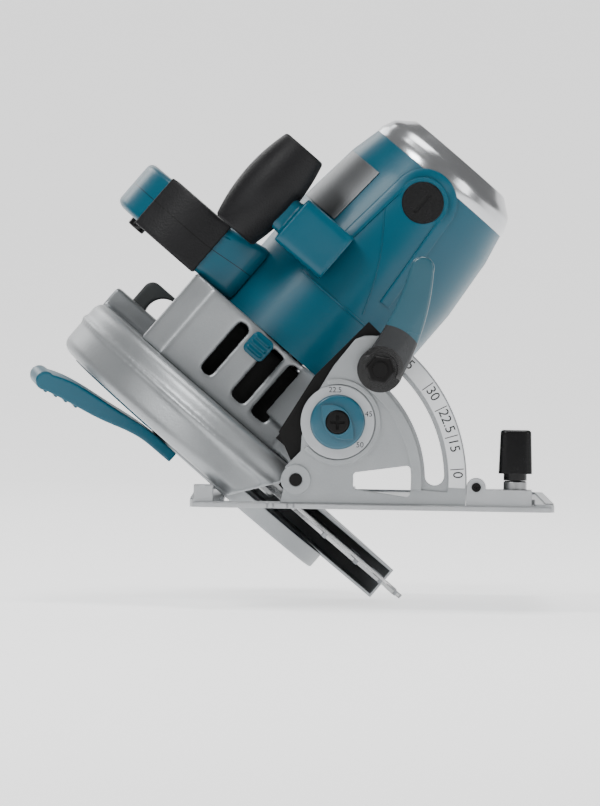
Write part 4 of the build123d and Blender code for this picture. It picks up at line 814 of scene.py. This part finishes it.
# ---------------------------------------------------------------- sub-assemblies
@dataclass
class BaseAssembly:
    """The base plate with its quadrant, printed bevel scale, stop dial and fence clamp."""

    bench: Bench
    pivot: tuple[float, float] = (-40.0, 15.0)
    scale_face: float = -146.8
    tick_inner: float = 80.6
    tick_outer: float = 87.6
    number_radius: float = 84.2
    number_size: float = 7.4
    number_lag: dict = field(default_factory=lambda: {1: 2.0, 2: 3.2, 4: 4.9})
    numbers: dict = field(default_factory=lambda: {
        "0": 4.6, "15": 16.4, "22.5": 27.0, "30": 36.2, "45": 50.5})
    dial: tuple[float, float] = (-18.7, 45.4)
    dial_face: float = -147.5
    dial_numbers: dict = field(default_factory=lambda: {"22.5": 95.0, "45": 15.0, "50": -45.0})
    finishes: dict = field(default_factory=lambda: {
        "base_plate": Finish.BASE, "base_screw": Finish.BLACK_METAL, "bevel_quadrant": Finish.CASTING,
        "scale_plate": Finish.SCALE, "bevel_pin_front": Finish.BLACK_METAL, "dial_screw": Finish.BLACK_METAL,
        "fence_collar": Finish.STEEL, "fence_knob": Finish.BLACK_GLOSS, "rear_pivot_bracket": Finish.STEEL,
        "rear_pivot_pin": Finish.STEEL, "stop_dial": Finish.DIAL})

    def build(self) -> None:
        """Builds every piece."""
        self.bench.dress(self.finishes, {})
        self._scale()
        self._dial()

    def _polar(self, centre: tuple[float, float], radius: float, angle: float, y: float) -> Vector:
        """A point at a radius and angle round a centre in the front plane, metres."""
        return Vector((centre[0] + radius * cos(angle), y, centre[1] + radius * sin(angle))) * MM

    def _scale(self) -> None:
        """Prints the angle numbers and a tick at each."""
        for text, degree in self.numbers.items():
            angle = radians(degree - self.number_lag[len(text)])
            right = Vector((sin(angle), 0, -cos(angle)))
            up = Vector((cos(angle), 0, sin(angle)))
            name = text.replace(".", "_")
            self.bench.letters(text, self.number_size * MM, self._polar(self.pivot, self.number_radius, angle,
                               self.scale_face - 0.04), right, up, 0.12 * MM, f"scale_number_{name}", "base",
                               Finish.INK)
        for index, degree in enumerate(sorted(self.numbers.values())):
            self._tick(index, radians(degree))

    def _tick(self, index: int, angle: float) -> None:
        """One tick: a thin rounded bar along a radius."""
        radius = np.linspace(self.tick_inner, self.tick_outer, 6)
        x = self.pivot[0] + radius * cos(angle)
        z = self.pivot[1] + radius * sin(angle)
        path = np.stack([x, np.full(6, self.scale_face - 0.03), z], axis=1) * MM
        outward = np.tile([0.0, -1.0, 0.0], (6, 1))
        across = np.tile([-sin(angle), 0.0, cos(angle)], (6, 1))
        points = outward_sweep(path, outward, across, rounded_section(0.45 * MM, 0.12 * MM, 10))
        self.bench.surface(points, 6, 10, (False, True), f"scale_tick_{index}", "base", Finish.INK)

    def _dial(self) -> None:
        """Prints the stop numbers round the dial."""
        for text, degree in self.dial_numbers.items():
            centre = self._polar(self.dial, 16.7, radians(degree), self.dial_face - 0.02)
            self.bench.letters(text, 4.0 * MM, centre, Vector((1, 0, 0)), Vector((0, 0, 1)), 0.12 * MM,
                               f"dial_number_{text.replace('.', '_')}", "stop_dial_body", Finish.INK)


@dataclass
class BevelFrame:
    """The bracket between the base and the head, with its clamp."""

    bench: Bench
    finishes: dict = field(default_factory=lambda: {
        "bevel_bracket": Finish.BLACK_METAL, "clamp_bolt": Finish.BLACK_METAL,
        "clamp_hardware": Finish.BLACK_METAL,
        "depth_pin": Finish.STEEL, "depth_guide": Finish.STEEL, "rear_bevel_arm": Finish.BLACK_METAL,
        "bevel_lever": Finish.LEVER})

    def build(self) -> None:
        """Builds every piece."""
        self.bench.dress(self.finishes, {})


@dataclass
class GuardSet:
    """The fixed and swinging guards and what is cast or fixed on them."""

    bench: Bench
    finishes: dict = field(default_factory=lambda: {
        "upper_guard": Finish.CASTING, "guard_badge": Finish.TEAL_BADGE, "dust_nozzle": Finish.DARK_NYLON,
        "lower_guard": Finish.CASTING, "guard_lever": Finish.TEAL, "guard_spring": Finish.STEEL})
    moulded: dict = field(default_factory=lambda: {
        "upper_guard": (1.0, 6), "dust_nozzle": (0.7, 8), "guard_lever": (0.6, 6)})
    arbor: tuple[float, float] = (-10.0, 35.0)
    lever_root: tuple[float, float] = (50.0, radians(123.0))
    lever_tip: tuple[float, float] = (130.0, radians(112.0))
    rib_places: tuple[float, ...] = (9.0, 15.0, 21.0, 27.0)
    rib_half: float = 7.5
    rib_steps: int = 14
    ray_start: float = -90.0

    def build(self) -> None:
        """Builds every piece."""
        self.bench.dress(self.finishes, self.moulded)
        self._lever_ribs()

    def _lever_ribs(self) -> None:
        """Raised bars across the lever near its tip: each point is dropped on its outer face along u."""
        mesh = frame["nodes"]["guard_lever"].data
        tree = BVHTree.FromPolygons([v.co for v in mesh.vertices], [tuple(p.vertices) for p in mesh.polygons])
        root, tip = (reach * np.array([cos(turn), sin(turn)])
                     for reach, turn in (self.lever_root, self.lever_tip))
        length = float(np.linalg.norm(tip - root))
        along = (tip - root) / length
        side = np.array([-along[1], along[0]])
        toward = Vector(HEAD.along)
        steps = self.rib_steps
        for index, back in enumerate(self.rib_places):
            reach = np.linspace(-self.rib_half, self.rib_half, steps)[:, None] * side
            spot = root + along * (length - back) + reach
            start = HEAD.place(np.full(steps, self.ray_start), spot[:, 0] + self.arbor[0],
                               spot[:, 1] + self.arbor[1])
            hits = [tree.ray_cast(Vector(p), toward)[0] for p in start]
            path = np.array([tuple(h) for h in hits if h is not None])
            if len(path) < steps:
                log.warning("lever rib %d missed the lever", index)
                continue
            outward = np.tile(-HEAD.along, (steps, 1))
            lengthwise = along[0] * np.array([0.0, 1.0, 0.0]) + along[1] * HEAD.up
            section = rounded_section(2.2 * MM, 2.0 * MM, 12, 2.4)
            points = outward_sweep(path, outward, np.tile(lengthwise, (steps, 1)), section)
            self.bench.surface(points, steps, 12, (False, True), f"lever_rib_{index}", "lower_guard_body",
                               Finish.TEAL)


@dataclass
class CuttingGear:
    """The blade, its flanges, the spindle and the drive gear."""

    bench: Bench
    finishes: dict = field(default_factory=lambda: {
        "blade": Finish.BLADE, "carbide_tips": Finish.CARBIDE, "inner_flange": Finish.STEEL,
        "outer_flange": Finish.STEEL, "blade_bolt": Finish.STEEL, "spindle": Finish.STEEL,
        "drive_gear": Finish.STEEL})

    def build(self) -> None:
        """Builds every piece."""
        self.bench.dress(self.finishes, {})


@dataclass
class MotorUnit:
    """The motor housing with its armature, brushes, cap and raised mouldings."""

    bench: Bench
    axis_y: float = -25.0
    axis_h: float = 35.0 + sqrt(28.5**2 - 15.0**2)
    brush_u: float = 166.0
    arch_radius: float = 15.2
    arch_start: float = 112.0
    arch_splay: float = 0.35
    cap_ring: tuple[float, float] = (8.9, 1.3)
    finishes: dict = field(default_factory=lambda: {
        "motor_housing": Finish.TEAL, "end_cap": Finish.CHROME, "stator": Finish.STEEL,
        "carbon_brushes": Finish.CARBIDE, "brush_holders": Finish.DARK_NYLON,
        "brush_caps": Finish.BLACK_GLOSS,
        "motor_label": Finish.LABEL, "armature_shaft": Finish.STEEL, "armature_core": Finish.STEEL,
        "armature_windings": Finish.COPPER, "commutator": Finish.COPPER, "cooling_fan": Finish.BLACK_GLOSS,
        "armature_bearings": Finish.STEEL, "spindle_bearings": Finish.STEEL,
        "bearing_retainer": Finish.CASTING,
        "gear_housing": Finish.VENTED, "shaft_lock": Finish.TEAL, "depth_bolt": Finish.STEEL,
        "depth_lever": Finish.BLACK_GLOSS})
    moulded: dict = field(default_factory=lambda: {
        "gear_housing": (1.1, 7), "shaft_lock": (0.45, 5), "depth_lever": (0.5, 5)})

    def build(self) -> None:
        """Builds every piece."""
        self.bench.dress(self.finishes, self.moulded)
        t = np.linspace(radians(150.0), radians(262.0), 60)
        self._rib("cover_edge", np.full(60, 97.0), t, 1.3, 1.0)
        bulge = np.sin(np.linspace(0.0, pi, 50))
        turn = pi + np.linspace(radians(-15.7), radians(16.9), 50) + radians(2.5) * bulge
        self._rib("part_line", np.linspace(150.4, 100.8, 50) + 2.0 * bulge, turn, 0.7, 0.6)
        self._arch()
        self._cap_rings()

    def _shell_radius(self, u: np.ndarray) -> np.ndarray:
        """Outer radius of the housing at u: straight, then tapering in two steps to the cap."""
        return np.interp(u, [60.0, 130.0, 164.0, 180.0], [50.0, 50.0, 46.6, 43.0])

    def _rib(self, name: str, u: np.ndarray, turn: np.ndarray, width: float, height: float) -> None:
        """A raised line on the housing: a rounded section carried along (u, turn) on the shell.

        Args:
            name: the piece's name.
            u: places along the motor, mm.
            turn: angles about the motor axis, 0 to the rear and pi to the front.
            width: the line's width, mm.
            height: its thickness, mm, half of it sunk in the shell.
        """
        radius = self._shell_radius(u)
        path = HEAD.place(u, self.axis_y + radius * np.cos(turn), self.axis_h + radius * np.sin(turn))
        outward = path - HEAD.place(u, np.full_like(u, self.axis_y), np.full_like(u, self.axis_h))
        outward = outward / np.linalg.norm(outward, axis=1, keepdims=True)
        forward = np.gradient(path, axis=0)
        across = np.cross(forward, outward)
        across = across / np.linalg.norm(across, axis=1, keepdims=True)
        section = rounded_section(width * MM, height * MM, 14)
        points = outward_sweep(path, outward, across, section)
        self.bench.surface(points, len(u), 14, (False, True), f"motor_{name}", "head", Finish.TEAL)

    def _cap_rings(self) -> None:
        """A rounded ring standing on the face of each brush cap: a small circle carried round a large one."""
        turn = np.linspace(0, 2 * pi, 72, endpoint=False)
        low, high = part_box("brush_caps")
        for name, face in (("front", low[1] / MM), ("rear", high[1] / MM)):
            ring = np.full(72, face + (0.45 if name == "front" else -0.45))
            path = HEAD.place(self.brush_u + self.cap_ring[0] * np.cos(turn), ring,
                              self.axis_h + self.cap_ring[0] * np.sin(turn))
            outward = np.tile([0.0, 1.0, 0.0], (72, 1))
            across = np.cos(turn)[:, None] * HEAD.along + np.sin(turn)[:, None] * HEAD.up
            section = rounded_section(self.cap_ring[1] * MM, 0.8 * MM, 12, 2.0)
            self.bench.surface(outward_sweep(path, outward, across, section), 72, 12, (True, True),
                               f"brush_cap_ring_{name}", "head", Finish.DARK_NYLON)

    def _arch(self) -> None:
        """The raised band round the brush cap: two legs along the motor joined by a half circle."""
        leg = np.linspace(self.arch_start, self.brush_u, 30, endpoint=False)
        bend = np.linspace(pi / 2, -pi / 2, 40)
        u = np.concatenate([leg, self.brush_u + self.arch_radius * np.cos(bend), leg[::-1]])
        spread = 1 + self.arch_splay * (self.brush_u - leg) / (self.brush_u - self.arch_start)
        rise = np.concatenate([self.arch_radius * spread, self.arch_radius * np.sin(bend),
                               -self.arch_radius * spread[::-1]])
        self._rib("brush_arch", u, pi - rise / self._shell_radius(u), 6.4, 2.0)


@dataclass
class HandleSet:
    """The main handle, its grip and controls, and the front knob."""

    bench: Bench
    finishes: dict = field(default_factory=lambda: {
        "handle_grip": Finish.SEAMED_RUBBER,
        "handle_screws": Finish.BLACK_METAL, "trigger": Finish.BLACK_GLOSS,
        "trigger_switch": Finish.DARK_NYLON,
        "lock_off_button": Finish.BLACK_GLOSS, "cord_gland": Finish.RUBBER})
    moulded: dict = field(default_factory=lambda: {
        "handle_grip": (0.8, 12), "trigger": (0.6, 5),
        "handle_screws": (0.4, 0), "trigger_switch": (0.6, 2), "lock_off_button": (0.4, 3)})

    def build(self) -> None:
        """Builds every piece: the handle's own pieces share its taper."""
        self.bench.mould(("handle_left", "handle_right"), Finish.SEAMED_TEAL, 0.85, 14, taper=True)
        self.bench.dress(self.finishes, self.moulded, taper=True)
        self.bench.mould(("knob_bracket",), Finish.TEAL, 0.7, 14)
        self.bench.refine("front_knob", Finish.RUBBER)


@dataclass
class Studio:
    """Floor, lights and camera."""

    eye: Vector = field(default_factory=lambda: Vector((-0.028, -5.2, 0.122)))
    aim: Vector = field(default_factory=lambda: Vector((-0.0387, 0.0, 0.053)))
    lens: float = 434.0
    roll: float = radians(0.95)
    floor_drop: float = 0.0008

    def build(self) -> None:
        """Builds the whole studio."""
        self._camera()
        self._floor()
        for name, where, size, power in (
                ("key", (-1.5, -1.9, 2.3), 1.1, 60.0), ("fill", (2.2, -1.6, 0.9), 0.9, 12.0),
                ("top", (0.1, 0.1, 2.6), 1.3, 34.0), ("rim", (-1.3, 2.2, 1.6), 1.2, 16.0)):
            self._light(name, Vector(where), size, power)
        world = bpy.data.worlds.new("studio")
        bpy.context.scene.world = world
        world.use_nodes = True
        background = world.node_tree.nodes["Background"]
        background.inputs[0].default_value = (1.0, 1.0, 1.0, 1.0)
        background.inputs[1].default_value = 0.28

    def _camera(self) -> None:
        """Aims the camera and rolls it about its own axis."""
        lens = bpy.data.cameras.new("camera")
        lens.lens = self.lens
        lens.sensor_width = 36.0
        lens.clip_end = 60.0
        camera = bpy.data.objects.new("camera", lens)
        bpy.context.scene.collection.objects.link(camera)
        turn = (self.aim - self.eye).to_track_quat("-Z", "Y").to_matrix().to_4x4()
        camera.matrix_world = Matrix.Translation(self.eye) @ turn @ Matrix.Rotation(self.roll, 4, "Z")
        bpy.context.scene.camera = camera

    def _floor(self) -> None:
        """A pale sheet that rises behind: z = drop + k * max(0, y - start)^2."""
        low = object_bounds()[0][2] - self.floor_drop
        x, y = np.meshgrid(np.linspace(-6, 6, 30), np.linspace(-8, 9, 60), indexing="ij")
        z = low + 0.12 * np.clip(y - 2.5, 0, None) ** 2
        points = np.stack([x.ravel(), y.ravel(), z.ravel()], axis=1)
        a, b = np.meshgrid(np.arange(29), np.arange(59), indexing="ij")
        corner = (a * 60 + b).ravel()
        mesh = bpy.data.meshes.new("studio_floor")
        quads = np.stack([corner, corner + 60, corner + 61, corner + 1], axis=1)
        mesh.from_pydata(points.tolist(), [], quads.tolist())
        board = NodeBoard("pale_floor")
        board.set("Base Color", board.mix(board.noise(4.0, 2.0), (0.90, 0.90, 0.90), (0.93, 0.93, 0.93)))
        board.set("Roughness", 0.7)
        board.set("Emission Color", (1.0, 1.0, 1.0))
        board.set("Emission Strength", 1.1)
        mesh.materials.append(board.material)
        floor = bpy.data.objects.new("studio_floor", mesh)
        bpy.context.scene.collection.objects.link(floor)
        floor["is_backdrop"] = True

    def _light(self, name: str, where: Vector, size: float, power: float) -> None:
        """One soft square light aimed at the saw."""
        lamp = bpy.data.lights.new(name, "AREA")
        lamp.size = size
        lamp.energy = power
        holder = bpy.data.objects.new(name, lamp)
        bpy.context.scene.collection.objects.link(holder)
        turn = (Vector((0, 0, 0.08)) - where).to_track_quat("-Z", "Y").to_matrix().to_4x4()
        holder.matrix_world = Matrix.Translation(where) @ turn


def main() -> None:
    """Builds every sub-assembly, then the studio."""
    logging.basicConfig(level=logging.INFO, format="%(name)s %(message)s")
    bench = Bench(FinishShop())
    for assembly in (BaseAssembly, BevelFrame, GuardSet, CuttingGear, MotorUnit, HandleSet):
        assembly(bench).build()
    Studio().build()


if __name__ == "__main__":
    main()
